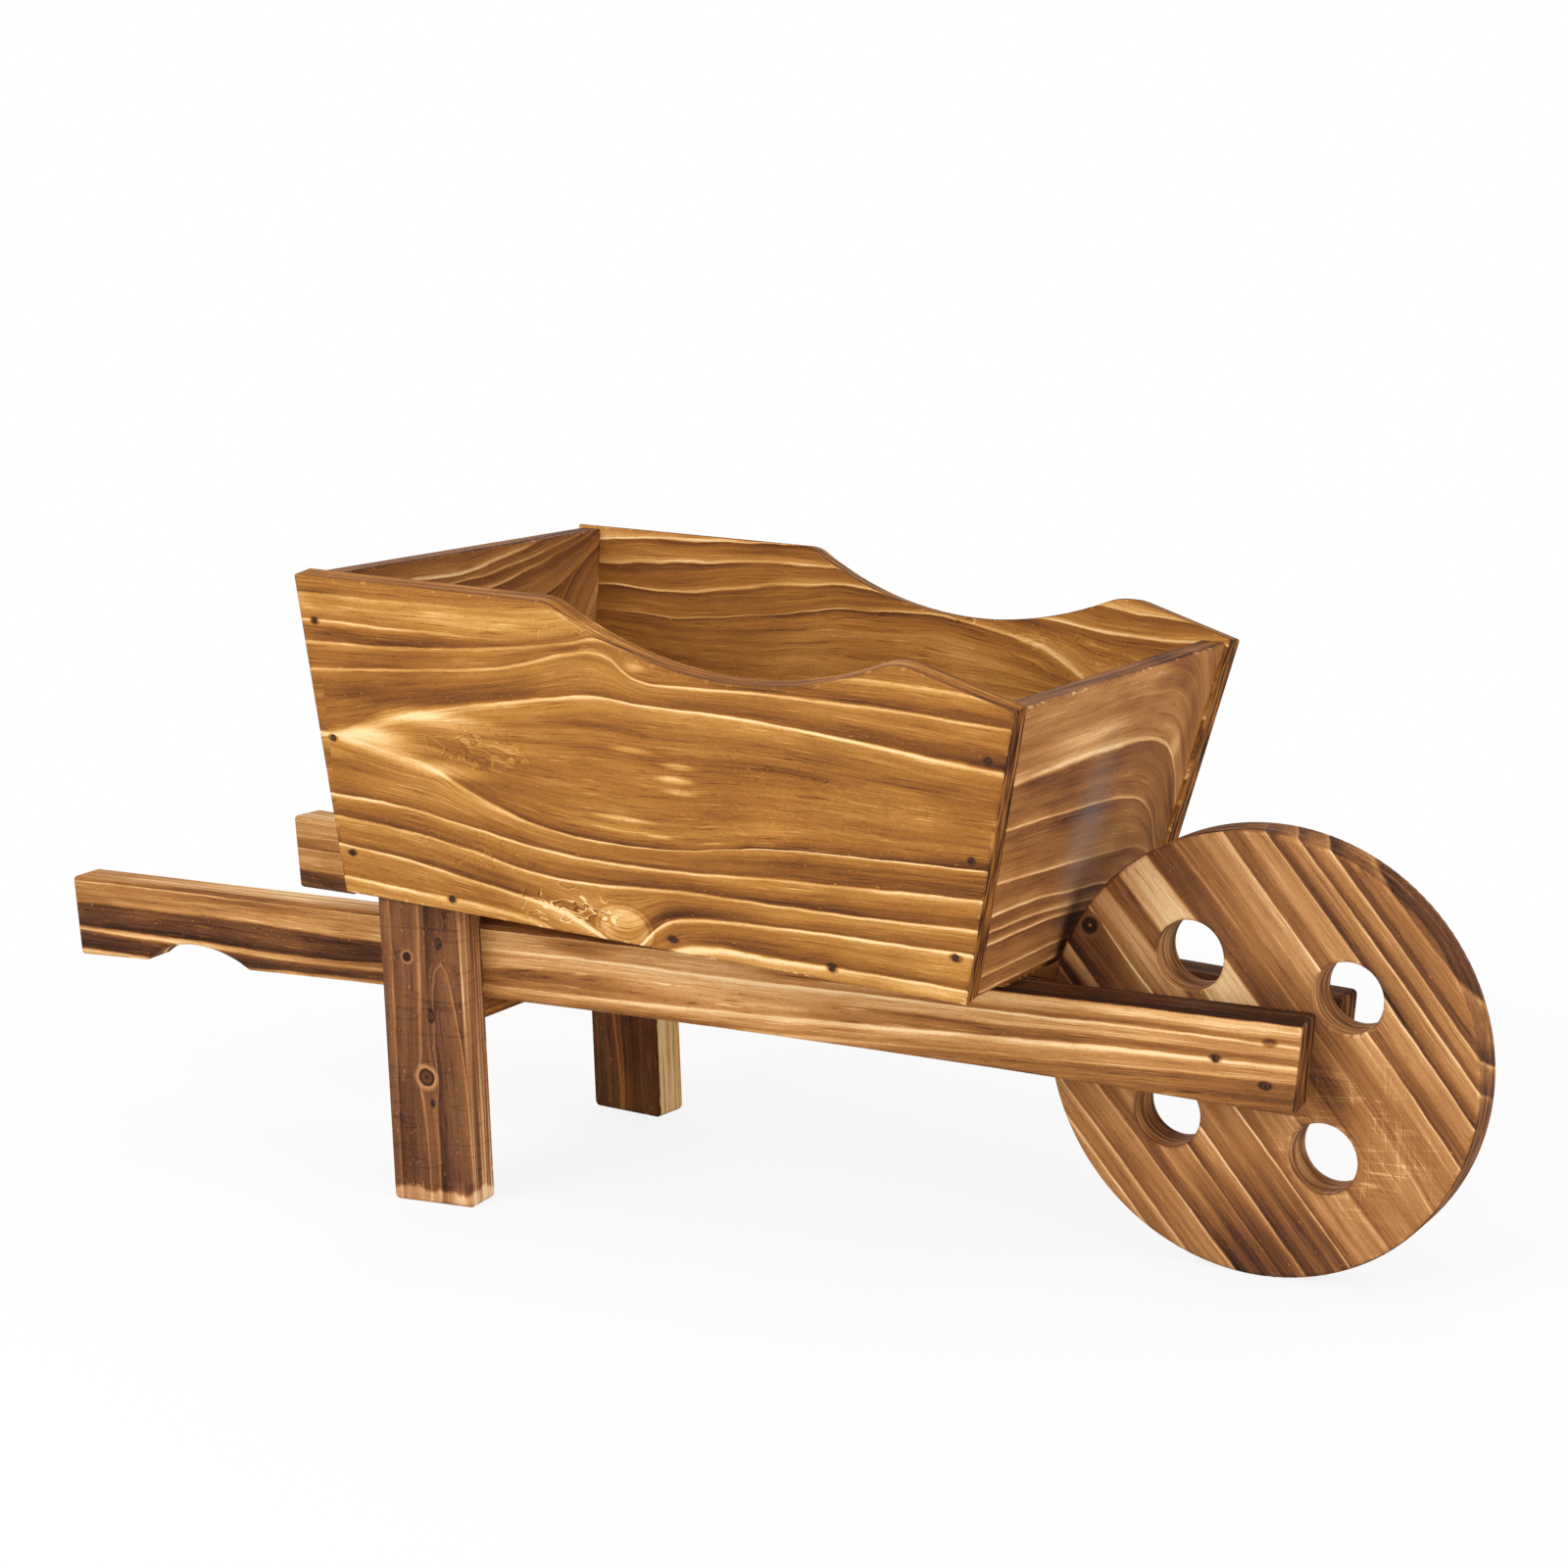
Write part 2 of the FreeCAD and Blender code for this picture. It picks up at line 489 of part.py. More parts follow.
def grip_scoop(body):
    """Cuts the finger scoop under the grip: two curves that meet at its top."""
    sketch = add_sketch(body, "XZ_Plane", "grip")
    top_x = value_of("layout.rail_start + dims.grip_distance")
    top_y = value_of("dims.grip_depth - dims.rail_height")
    near = value_of("dims.grip_handle_radius")
    far = value_of("dims.grip_box_radius")
    depth = value_of("dims.grip_depth")
    near_angle = math.degrees(math.asin(1 - depth / near))
    far_angle = math.degrees(math.asin(1 - depth / far))
    near_x = top_x - near * math.cos(math.radians(near_angle))
    far_x = top_x + far * math.cos(math.radians(far_angle))
    near_arc = arc(sketch, (top_x, top_y - near), near, 90, 180 - near_angle)
    far_arc = arc(sketch, (top_x, top_y - far), far, far_angle, 90)
    base = line(sketch, (near_x, top_y - depth), (far_x, top_y - depth))
    constrain(sketch, "Coincident", near_arc, 2, base, 1)
    constrain(sketch, "Coincident", far_arc, 1, base, 2)
    constrain(sketch, "Tangent", near_arc, 1, far_arc, 2)
    constrain(sketch, "Horizontal", base)
    fix_point(sketch, near_arc, 1,
              "layout.rail_start + dims.grip_distance", "dims.grip_depth - dims.rail_height")
    constrain(sketch, "DistanceX", -1, 1, near_arc, 3, expression="layout.rail_start + dims.grip_distance")
    constrain(sketch, "DistanceY", -1, 1, base, 1, expression="-dims.rail_height")
    constrain(sketch, "Radius", near_arc, expression="dims.grip_handle_radius")
    constrain(sketch, "Radius", far_arc, expression="dims.grip_box_radius")
    pocket = body.newObject("PartDesign::Pocket", f"{body.Name}_grip_cut")
    pocket.Profile = sketch
    pocket.SideType = "Symmetric"
    pocket.Type = "Length"
    pocket.setExpression("Length", "3 * dims.rail_thickness")
    doc.recompute()
    return pocket


def leg(side, sign):
    """A plumb board on the rail's outer face, from the ground to the box's sloping underside."""
    body = add_body(f"{side}_leg_blank", f"{side}_leg_frame.Placement")
    sketch = add_sketch(body, "XZ_Plane", "outline")
    half = "dims.leg_width / 2"
    fall = "layout.leg_half_x * layout.box_fall"
    polygon(sketch, [
        (f"-{half}", "0"), (half, "0"),
        (half, f"layout.leg_top_z - {fall}"), (f"-{half}", f"layout.leg_top_z + {fall}"),
    ])
    board = pad(body, sketch, "dims.leg_thickness", reverse=sign > 0)
    seat = value_of("layout.leg_top_z - layout.leg_half_x * layout.box_fall")

    def is_free(edge):
        touches_box = min(vertex.Z for vertex in edge.Vertexes) > seat - 1
        touches_rail = all(abs(vertex.Y) < 0.01 for vertex in edge.Vertexes)
        return not touches_box and not touches_rail

    round_edges(body, board, "dims.leg_round", is_free)
    return body


def crossbar():
    """A flat board under the rails, whose ends follow the splay and meet the legs."""
    place = placement("layout.leg_x", "0", "layout.crossbar_z", (0, 1, 0), "layout.crossbar_pitch")
    body = add_body("leg_crossbar_blank", place)
    sketch = add_sketch(body, "XY_Plane", "plan")
    half = "dims.crossbar_width / 2"
    handle_y = f"(layout.leg_y + {half} * layout.splay_tan - dims.end_fit_gap)"
    wheel_y = f"(layout.leg_y - {half} * layout.splay_tan - dims.end_fit_gap)"
    polygon(sketch, [
        (f"-{half}", f"-{handle_y}"), (half, f"-{wheel_y}"), (half, wheel_y), (f"-{half}", handle_y),
    ])
    board = pad(body, sketch, "dims.crossbar_thickness", reverse=True)

    def is_lower(edge):
        return all(vertex.Z < -1 for vertex in edge.Vertexes)

    round_edges(body, board, "dims.crossbar_round", is_lower)
    return body


def bearer(name, middle_x, seat_z, height, half_length):
    """A batten across the rails: its foot follows their fall and its top the box's underside."""
    body = add_body(f"{name}_blank", placement(middle_x, "0", seat_z))
    sketch = add_sketch(body, "XZ_Plane", "section")
    half = "dims.bearer_width / 2"
    foot = f"{half} * layout.rail_fall"
    top = f"{half} * layout.box_fall"
    polygon(sketch, [
        (f"-{half}", foot), (half, f"-{foot}"),
        (half, f"{height} - {top}"), (f"-{half}", f"{height} + {top}"),
    ])
    pad(body, sketch, f"2 * {half_length}", symmetric=True)
    return body


def axle():
    """A dowel across the wheel, trimmed to the planes of the rails' inner faces."""
    blank = doc.addObject("Part::Cylinder", "axle_dowel_stock")
    blank.setExpression("Radius", "dims.axle_diameter / 2")
    blank.setExpression("Height", "2 * layout.rail_inner_y + dims.rail_thickness")
    middle = placement("layout.axle_x", "layout.rail_inner_y + dims.rail_thickness / 2", "dims.wheel_radius",
                       (1, 0, 0), "90")
    blank.setExpression("Placement", middle)
    piece = blank
    for side, sign in SIDES:
        trim = doc.addObject("Part::Box", f"axle_dowel_trim_{side}")
        for size, expression in (("Length", "2 * dims.axle_diameter"), ("Width", "dims.rail_thickness"),
                                 ("Height", "2 * dims.axle_diameter")):
            trim.setExpression(size, expression)
        shift = "0" if sign > 0 else "-dims.rail_thickness"
        corner = placement("-dims.axle_diameter", shift, "-dims.rail_top_rise - dims.axle_diameter")
        trim.setExpression("Placement", f"{side}_rail_frame.Placement * {corner}")
        cut = doc.addObject("Part::Cut", f"axle_dowel_end_{side}")
        cut.Base = piece
        cut.Tool = trim
        piece = cut
    return piece


def wheel():
    """A thick disc with a bore for the dowel and a ring of round holes."""
    body = add_body("wheel_body", placement("layout.axle_x", "0", "dims.wheel_radius"))
    outline = add_sketch(body, "XZ_Plane", "outline")
    circles(outline, "2 * dims.wheel_radius", [("0", "0")])
    circles(outline, "2 * layout.bore_radius", [("0", "0")])
    pad(body, outline, "dims.wheel_thickness", symmetric=True)
    hole = add_sketch(body, "XZ_Plane", "hole")
    across = "dims.wheel_hole_circle * cos(dims.wheel_hole_angle)"
    up = "dims.wheel_hole_circle * sin(dims.wheel_hole_angle)"
    circles(hole, "dims.wheel_hole_diameter", [(across, up)])
    pocket = body.newObject("PartDesign::Pocket", "wheel_hole")
    pocket.Profile = hole
    pocket.Type = "Length"
    pocket.SideType = "Symmetric"
    pocket.setExpression("Length", "2 * dims.wheel_thickness")
    doc.recompute()
    ring = body.newObject("PartDesign::PolarPattern", "wheel_hole_ring")
    ring.Originals = [pocket]
    ring.Axis = (hole, ["N_Axis"])
    ring.Angle = 360
    ring.setExpression("Occurrences", "dims.wheel_hole_count")
    body.Tip = ring
    doc.recompute()
    rim_radius = value_of("dims.wheel_radius")
    hole_radius = value_of("dims.wheel_hole_diameter / 2")

    def is_circle_of(radius):
        def wanted(edge):
            return isinstance(edge.Curve, Part.Circle) and abs(edge.Curve.Radius - radius) < 0.01
        return wanted

    rim = round_edges(body, ring, "dims.wheel_rim_round", is_circle_of(rim_radius))
    rim.Label = "wheel_rim_rounding"
    round_edges(body, rim, "dims.wheel_hole_round", is_circle_of(hole_radius))
    return body


def side_nails(side, sign):
    """Three nails into each end panel and three into the floor's edge."""
    handle_middle = "dims.end_setback + layout.handle_end_depth / 2"
    wheel_middle = "dims.box_length - dims.end_setback - layout.wheel_end_depth / 2"
    ends = (
        ("dims.shoulder_height", handle_middle, "-layout.nail_line_handle"),
        ("dims.tail_height", wheel_middle, "layout.nail_line_wheel"),
    )
    centres = []
    for top, base, lean in ends:
        for share in (0, 0.5, 1):
            height = f"(dims.side_nail_margin + {share} * ({top} - 2 * dims.side_nail_margin))"
            centres.append((f"{base} + {lean} * {height}", height))
    margin = "dims.floor_edge_nail_margin"
    for share in (0, 0.6, 1):
        along = f"{margin} + {share} * (dims.box_length - 2 * {margin})"
        centres.append((along, "dims.floor_edge_nail_height"))
    place = f"{side}_panel_frame.Placement"
    return add_nails(f"{side}_side_nails", place, "XZ_Plane", centres, "dims.side_nail_length", sign < 0)


def leg_nails(side, sign):
    """One nail into the rail and one into the crossbar's end."""
    upper = "layout.rear_seat_z - dims.leg_nail_margin"
    lower = "layout.crossbar_z - dims.crossbar_thickness / 2"
    centres = [("dims.upper_leg_nail_offset", upper), ("dims.lower_leg_nail_offset", lower)]
    place = f"{side}_leg_frame.Placement * {placement(y=f'{sign} * dims.leg_thickness')}"
    return add_nails(f"{side}_leg_nails", place, "XZ_Plane", centres, "dims.leg_nail_length", sign < 0)


def axle_nails(side, sign):
    """Two nails through the rail into the dowel's end, either side of its middle."""
    middle = "dims.rail_thickness * layout.splay_tan"
    across = "dims.axle_nail_radius * cos(dims.axle_nail_angle)"
    drop = "dims.axle_nail_radius * sin(dims.axle_nail_angle)"
    level = "dims.rail_top_rise"
    centres = [(f"{middle} - {across}", f"{drop} - {level}"), (f"{middle} + {across}", f"-{drop} - {level}")]
    place = f"{side}_rail_frame.Placement * {placement(y=f'{sign} * dims.rail_thickness')}"
    return add_nails(f"{side}_axle_nails", place, "XZ_Plane", centres, "dims.axle_nail_length", sign < 0)


def floor_nails():
    """Two nails through the middle floor board into each bearer."""
    centres = [(along, f"{sign} * dims.floor_nail_spacing / 2")
               for along in ("layout.rear_bearer_u", "layout.front_bearer_u") for _, sign in SIDES]
    place = f"box_frame.Placement * {placement(z='dims.floor_thickness')}"
    return add_nails("floor_nails", place, "XY_Plane", centres, "dims.floor_nail_length", True)


def box_screws():
    """Countersunk screws through the outer floor boards and the bearers into the rails."""
    body = add_body("box_screws", f"box_frame.Placement * {placement(z='dims.floor_thickness')}")
    bearers = (("layout.rear_bearer_u", "layout.leg_x"), ("layout.front_bearer_u", "layout.front_bearer_x"))
    centres = []
    for along, x in bearers:
        over_rail = f"(layout.rail_middle_y + (layout.axle_x - {x}) * layout.splay_tan)"
        centres.extend((along, f"{sign} * {over_rail}") for _, sign in SIDES)
    shanks = add_sketch(body, "XY_Plane", "shanks")
    circles(shanks, "dims.screw_diameter", centres)
    pad(body, shanks, "dims.screw_length", reverse=True)
    heads = add_sketch(body, "XY_Plane", "heads")
    circles(heads, "dims.screw_head_diameter", centres)
    head = pad(body, heads, "dims.screw_head_depth", reverse=True)
    narrowing = "(dims.screw_head_diameter - dims.screw_diameter) / 2"
    head.setExpression("TaperAngle", f"-atan({narrowing} / dims.screw_head_depth)")
    doc.recompute()
    return body


# Fasteners
nails = {}
for side, sign in SIDES:
    nails[f"{side}_side"] = side_nails(side, sign)
    nails[f"{side}_leg"] = leg_nails(side, sign)
    nails[f"{side}_axle"] = axle_nails(side, sign)
nails["floor"] = floor_nails()
screws = box_screws()

# Box
pieces = [*nails.values(), screws]
both_sides = [nails["right_side"], nails["left_side"]]
for side, sign in SIDES:
    pieces.append(drilled(f"{side}_side_panel", side_panel(side, sign), [nails[f"{side}_side"]]))
pieces.append(drilled("handle_end_panel", end_panel(
    "handle_end_panel", "dims.end_setback", "layout.handle_end_depth", "layout.handle_end_height",
    "-dims.handle_end_lean"), both_sides))
pieces.append(drilled("wheel_end_panel", end_panel(
    "wheel_end_panel", "(dims.box_length - dims.end_setback - layout.wheel_end_depth)",
    "layout.wheel_end_depth", "layout.wheel_end_height", "dims.wheel_end_lean"), both_sides))
middle_edge = "layout.floor_board_width / 2"
outer_edge = "layout.inside_half_width"
outer_start = f"({middle_edge} + dims.floor_gap)"
pieces.append(drilled("floor_board_right", floor_board(
    "floor_board_right", outer_start, outer_edge, (0, 1)), [nails["right_side"], screws]))
pieces.append(drilled("floor_board_middle", floor_board(
    "floor_board_middle", f"-{middle_edge}", middle_edge, (0, 0)), [nails["floor"]]))
pieces.append(drilled("floor_board_left", floor_board(
    "floor_board_left", f"-{outer_edge}", f"-{outer_start}", (1, 0)), [nails["left_side"], screws]))

# Chassis
for side, sign in SIDES:
    own_nails = [nails[f"{side}_leg"], nails[f"{side}_axle"], screws]
    pieces.append(drilled(f"{side}_rail", rail(side, sign), own_nails))
    pieces.append(drilled(f"{side}_leg", leg(side, sign), [nails[f"{side}_leg"]]))
pieces.append(drilled("leg_crossbar", crossbar(), [nails["right_leg"], nails["left_leg"]]))
for name, middle, seat, height, half_length in (
    ("rear_bearer", "layout.leg_x", "layout.rear_seat_z", "dims.rear_bearer_height", "layout.rear_bearer_y"),
    ("front_bearer", "layout.front_bearer_x", "layout.front_seat_z", "dims.front_bearer_height",
     "layout.front_bearer_y"),
):
    pieces.append(drilled(name, bearer(name, middle, seat, height, half_length), [nails["floor"], screws]))

# Wheel
pieces.append(drilled("axle_dowel", axle(), [nails["right_axle"], nails["left_axle"]]))
pieces.append(drilled("wheel", wheel(), []))

doc.recompute()
failed = [item.Name for item in doc.Objects if {"Invalid", "Error"} & set(item.State)]
if failed:
    raise RuntimeError(f"objects that failed: {failed}")
for piece in pieces:
    if piece.Shape.isNull() or not piece.Shape.isValid() or not piece.Shape.Solids:
        raise RuntimeError(f"{piece.Label} has no valid shape")

os.makedirs("parts", exist_ok=True)
for piece in pieces:
    piece.Shape.exportStep(os.path.join("parts", f"{piece.Label}.step"))
    print(f"{piece.Label:20s} {len(piece.Shape.Solids):2d} solids {piece.Shape.Volume / 1000:9.2f} cm3")
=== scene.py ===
import json
import math
from typing import NamedTuple

import bpy
from mathutils import Matrix, Vector


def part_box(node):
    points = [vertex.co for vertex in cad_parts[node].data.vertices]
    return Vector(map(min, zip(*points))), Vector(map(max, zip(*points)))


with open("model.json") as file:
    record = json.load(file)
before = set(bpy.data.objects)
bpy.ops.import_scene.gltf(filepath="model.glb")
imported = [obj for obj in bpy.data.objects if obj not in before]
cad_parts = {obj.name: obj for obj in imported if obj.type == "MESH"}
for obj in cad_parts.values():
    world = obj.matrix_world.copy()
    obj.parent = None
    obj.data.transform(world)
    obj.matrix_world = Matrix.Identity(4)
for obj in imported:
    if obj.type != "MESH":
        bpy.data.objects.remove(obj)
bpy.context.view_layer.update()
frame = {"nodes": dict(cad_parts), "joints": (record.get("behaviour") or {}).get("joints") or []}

# A wooden wheelbarrow planter of charred and brushed fir: materials, floor, light and camera.
# Grain is measured in millimetres in each board's own frame, and the scene in metres.

NODES = frame["nodes"]
MM = 0.001
UPWARDS = Vector((0, 0, 1))
LEFTWARDS = Vector((0, 1, 0))
BACKWARDS = Vector((-1, 0, 0))

# Places of the boards in millimetres and degrees, as the CAD has them
AXLE = Vector(frame["joints"][0]["pos_m"]) / MM
BOX_ORIGIN = Vector((-217.177, 0.0, 190.613))  # middle of the box's lower edge at the handle end
BOX_PITCH = 3.285  # fall of the box towards the wheel
BOX_HALF_WIDTH = 121.75  # to the side panels' lower edges
SIDE_FLARE = 8.35
WHEEL_END_FOOT = 421.0  # along the box, from its origin
WHEEL_END_LEAN = 12.0
HANDLE_END_FOOT = 3.0  # along the box, from its origin
HANDLE_END_LEAN = 3.5
FLOOR_THICKNESS = 15.0
FLOOR_BOARD_STEP = 70.0  # from the middle of one floor board to the next
RAIL_SPLAY = 5.7
RAIL_PITCH = 1.85
RAIL_TOP_RISE = 30.75  # above the axle
RAIL_INNER_Y = 18.625  # of the inner face, beside the axle
RAIL_THICKNESS = 26.0
LEG_X = -168.369  # of the leg's middle
LEG_INNER_Y = 93.999  # of the inner face, in the leg's middle
LEG_THICKNESS = 24.5
WHEEL_THICKNESS = 27.0
WHEEL_GRAIN = 50.0  # turn of the wheel's grain from level
HOLE_ANGLE = 36.0  # turn of the wheel's holes from level
HOLE_CIRCLE = 65.0  # from the axle to the middle of each hole
HOLE_RADIUS = 19.75


# Colours
def linear(step):
    """One channel, written from 0 to 255, as Blender's linear value."""
    share = step / 255
    return share / 12.92 if share <= 0.04045 else ((share + 0.055) / 1.055) ** 2.4


def srgb(red, green, blue):
    return linear(red), linear(green), linear(blue), 1.0


WHITE = (1, 1, 1, 1)
WARM_TINT = srgb(160, 88, 40)
# Grey that a patch of a board is mixed towards, as a painted sheen
PAINTED_SHEEN_GREY = srgb(126, 118, 114)

# Tone of the wood from charred to bare, as golden and as dusty colours
CHAR_STOPS = (
    (0.00, (48, 29, 18), (50, 33, 24)),
    (0.18, (86, 53, 32), (86, 56, 40)),
    (0.36, (127, 79, 39), (124, 83, 56)),
    (0.52, (156, 103, 46), (152, 105, 70)),
    (0.68, (186, 133, 67), (180, 132, 94)),
    (0.84, (219, 170, 104), (210, 166, 124)),
    (1.00, (242, 210, 156), (238, 206, 162)),
)


def char_ramp(dust):
    """Colours of the tones, golden at 0 and dusty at 1."""
    stops = []
    for position, golden, dusty in CHAR_STOPS:
        stops.append((position, srgb(*(a + dust * (b - a) for a, b in zip(golden, dusty)))))
    return stops


# Nodes of a material or of the world
SEED_STEPS = (3.7, 11.3, 7.9)  # of a noise's place, for each step of its seed


class Graph:
    """The shader nodes of one material or world, added one by one."""

    def __init__(self, owner):
        owner.use_nodes = True
        self.owner = owner
        self.tree = owner.node_tree
        self.tree.nodes.clear()

    def put(self, socket, value):
        if isinstance(value, bpy.types.NodeSocket):
            self.tree.links.new(value, socket)
        else:
            socket.default_value = value

    def add(self, kind, inputs=None, **settings):
        node = self.tree.nodes.new(kind)
        for name, value in settings.items():
            setattr(node, name, value)
        for key, value in (inputs or {}).items():
            self.put(node.inputs[key], value)
        return node

    def end(self, shader, kind="ShaderNodeOutputMaterial"):
        output = self.add(kind)
        self.tree.links.new(shader.outputs[0], output.inputs[0])
        return self.owner

    def math(self, operation, first, second=0.0, third=0.0, clamp=False):
        inputs = {0: first, 1: second, 2: third}
        return self.add("ShaderNodeMath", inputs, operation=operation, use_clamp=clamp).outputs[0]

    def vector(self, operation, first, second=(0, 0, 0), third=(0, 0, 0)):
        node = self.add("ShaderNodeVectorMath", operation=operation)
        for socket, value in zip(node.inputs, (first, second, third)):
            self.put(socket, value)
        return node.outputs["Value" if operation in ("LENGTH", "DOT_PRODUCT") else 0]

    def span(self, value, low, high, bottom=0.0, top=1.0, smooth=True):
        """The value from low to high turned into bottom to top, and held there outside."""
        kind = "SMOOTHSTEP" if smooth else "LINEAR"
        inputs = {0: value, 1: low, 2: high, 3: bottom, 4: top}
        return self.add("ShaderNodeMapRange", inputs, interpolation_type=kind).outputs[0]

    def centred(self, value, spread):
        """A value from 0 to 1 turned into one from minus half the spread to plus half of it."""
        return self.math("MULTIPLY_ADD", value, spread, -spread / 2)

    def contour(self, value, level, line, strength=1.0):
        """A line where the value passes a level: full at its inner distance, gone at its outer one."""
        inner, outer = line
        apart = self.math("ABSOLUTE", self.math("SUBTRACT", value, level))
        return self.span(apart, inner, outer, strength, 0)

    def blend(self, share, first, second):
        inputs = {0: share, 2: first, 3: second}
        return self.add("ShaderNodeMix", inputs, data_type="FLOAT").outputs[0]

    def tint(self, share, first, second, kind="MIX"):
        inputs = {0: share, 6: first, 7: second}
        return self.add("ShaderNodeMix", inputs, data_type="RGBA", blend_type=kind).outputs[2]

    def combine(self, x, y, z):
        return self.add("ShaderNodeCombineXYZ", {0: x, 1: y, 2: z}).outputs[0]

    def split(self, vector):
        return self.add("ShaderNodeSeparateXYZ", {0: vector}).outputs

    def noise(self, place, sizes, seed, detail=2.0, roughness=0.5, distortion=0.0):
        """Cloudy noise from 0 to 1, whose clouds have about the sizes given for each axis."""
        scale = tuple(1 / size for size in sizes)
        offset = tuple(step * seed for step in SEED_STEPS)
        scaled = self.vector("MULTIPLY_ADD", place, scale, offset)
        inputs = {"Vector": scaled, "Scale": 1.0, "Detail": detail, "Roughness": roughness,
                  "Distortion": distortion}
        return self.add("ShaderNodeTexNoise", inputs).outputs[0]

    def curve(self, value, points, low, high, bottom, top, handle="AUTO"):
        """A curve through given points; a number alone stands for a level line."""
        if isinstance(points, (int, float)):
            return float(points)
        share = self.math("MULTIPLY_ADD", value, 1 / (high - low), -low / (high - low), clamp=True)
        node = self.add("ShaderNodeFloatCurve", {1: share})
        knots = [((x - low) / (high - low), (y - bottom) / (top - bottom)) for x, y in points]
        track = node.mapping.curves[0].points
        track[0].location = knots[0]
        track[1].location = knots[-1]
        for knot in knots[1:-1]:
            track.new(*knot)
        for point in track:
            point.handle_type = handle
        node.mapping.update()
        return self.math("MULTIPLY_ADD", node.outputs[0], top - bottom, bottom)

    def ramp(self, value, stops):
        node = self.add("ShaderNodeValToRGB", {0: value})
        elements = node.color_ramp.elements
        while len(elements) < len(stops):
            elements.new(1.0)
        for element, (position, colour) in zip(elements, stops):
            element.position = position
            element.color = colour
        return node.outputs[0]


# What the grain of a board is made of; rows of the tables below are read as Line, Spot and Knot
class Board:
    """Where a board's grain runs: u along it and h across it, from an origin on the board's face."""

    def __init__(self, origin, along, across, inward=-1):
        self.origin = origin * MM
        self.along = along
        self.across = across
        self.rotation = Matrix((along, across, along.cross(across))).transposed().to_euler("XYZ")
        self.inward = inward  # sign of the depth below the face, along the cross product of u and h


class Line(NamedTuple):
    """A ring border. Its course and strengths are numbers, or curves through (u, value) points."""
    course: object
    pale: object
    dark: object
    width: object = 1
    soft: float = 1.2


class Rings(NamedTuple):
    """Ring borders from low to high, the base tones below, between and above them, and their reach in u."""
    lines: tuple
    tones: tuple
    reach: tuple


class Spot(NamedTuple):
    """An oval on a board's face that changes the tone or the strength of a mark."""
    u: float
    h: float
    length: float
    height: float
    change: float


class Knot(NamedTuple):
    """A knot, its push on the grain beside it, and the tones of its halo, heart and core."""
    u: float
    h: float
    radius: float
    push: float
    halo: float
    heart: float
    core: float


class Noise(NamedTuple):
    """A noise of the wood: sizes of its clouds, and the step from the board's seed to its own."""
    sizes: tuple
    step: int
    detail: float = 2.0
    roughness: float = 0.5
    distortion: float = 0.0


class Fade(NamedTuple):
    """A mark that a noise leaves: none at its start, and the whole change of tone where it is full."""
    start: float
    full: float
    change: float


# Noises, whose sizes are millimetres, but metres for the chips of the edges
NOISES = {
    "slow": Noise((110, 40, 30), 0),
    "quick": Noise((16, 6, 6), 1),
    "presence": Noise((90, 9, 9), 2),
    "fibre": Noise((60, 1.0, 1.0), 3, 3, 0.6),
    "band": Noise((170, 4.5, 4.5), 4),
    "cloud": Noise((75, 22, 22), 5, 3),
    "pore": Noise((9, 0.6, 0.6), 6, 1),
    "rib": Noise((1.6, 26, 40), 7),
    "chip": Noise((0.007, 0.007, 0.007), 8, 3),
    "warmth": Noise((140, 60, 60), 9, 1),
    "hair": Noise((34, 0.75, 0.75), 10),
    "winding": Noise((17, 8, 8), 11, 1, distortion=0.7),
    "foot": Noise((1, 7, 7), 12, 3),
    "speck": Noise((3.2, 1.5, 1.5), 13, 1),
    "grit": Noise((1.6, 1.2, 1.2), 14, 1),
    "saw": Noise((7, 90, 90), 15, 1),
    "thread": Noise((1.7, 140, 60), 16),
    "hole_saw": Noise((1.8, 30, 30), 20, 3),
    "scratch": Noise((7, 210, 1), 21, 1),
    "break": Noise((24, 24, 24), 22),
}
MIDDLE = 0.5  # of a noise

# Pale line across a ring border, by distance in millimetres: golden below it, burnt dark above it
PROFILE_REACH = 16.0
PROFILE = (
    (-16, 0), (-8, 0.03), (-3.5, 0.1), (-1.5, 0.3), (-0.7, 0.85), (0.1, 0.95), (0.55, 0.35), (0.9, -0.2),
    (1.5, -0.45), (3.2, -0.36), (8, -0.15), (16, 0),
)

# Ranges of the curves: widest line, lowest and highest border in millimetres
WIDEST_LINE = 10.0
H_LOW = -150.0
H_HIGH = 250.0

# Wandering of the grain in millimetres, and how far it bends round a knot, as radius over length and height
QUICK_WANDER = 1.3
KNOT_BEND_LENGTH = 0.22
KNOT_BEND_HEIGHT = 0.4

# Spread of the tone by fibres, bands, clouds and grit, and the marks of hairlines and pores
FIBRE_SPREAD = 0.24
BAND_SPREAD = 0.44
CLOUD_SPREAD = 0.36
GRIT_SPREAD = 0.12
DARK_HAIRS = Fade(0.4, 0.3, -0.18)
PALE_HAIRS = Fade(0.61, 0.71, 0.17)
PORES = Fade(0.65, 0.75, -0.13)

# Thin lines by their inner and outer distance: saw marks, brush marks, their grooves, and scratches
SAW_LINE = (0.004, 0.024)
BRUSH_LINE = (0.006, 0.03)
GROOVE_LINE = (0.008, 0.03)
GROOVE_LEVEL = 0.55
GROOVE_STRENGTH = 0.8
SCRATCH_LINE = (0.0, 0.025)

# Raggedness of patches, eyes, knots and pits, as a share of their size, and of a bare foot in millimetres
SPOT_RAGGED = 0.9
EYE_RAGGED = 0.5
KNOT_RAGGED = 0.5
PIT_RAGGED = 0.8
FOOT_RAGGED = 14.0

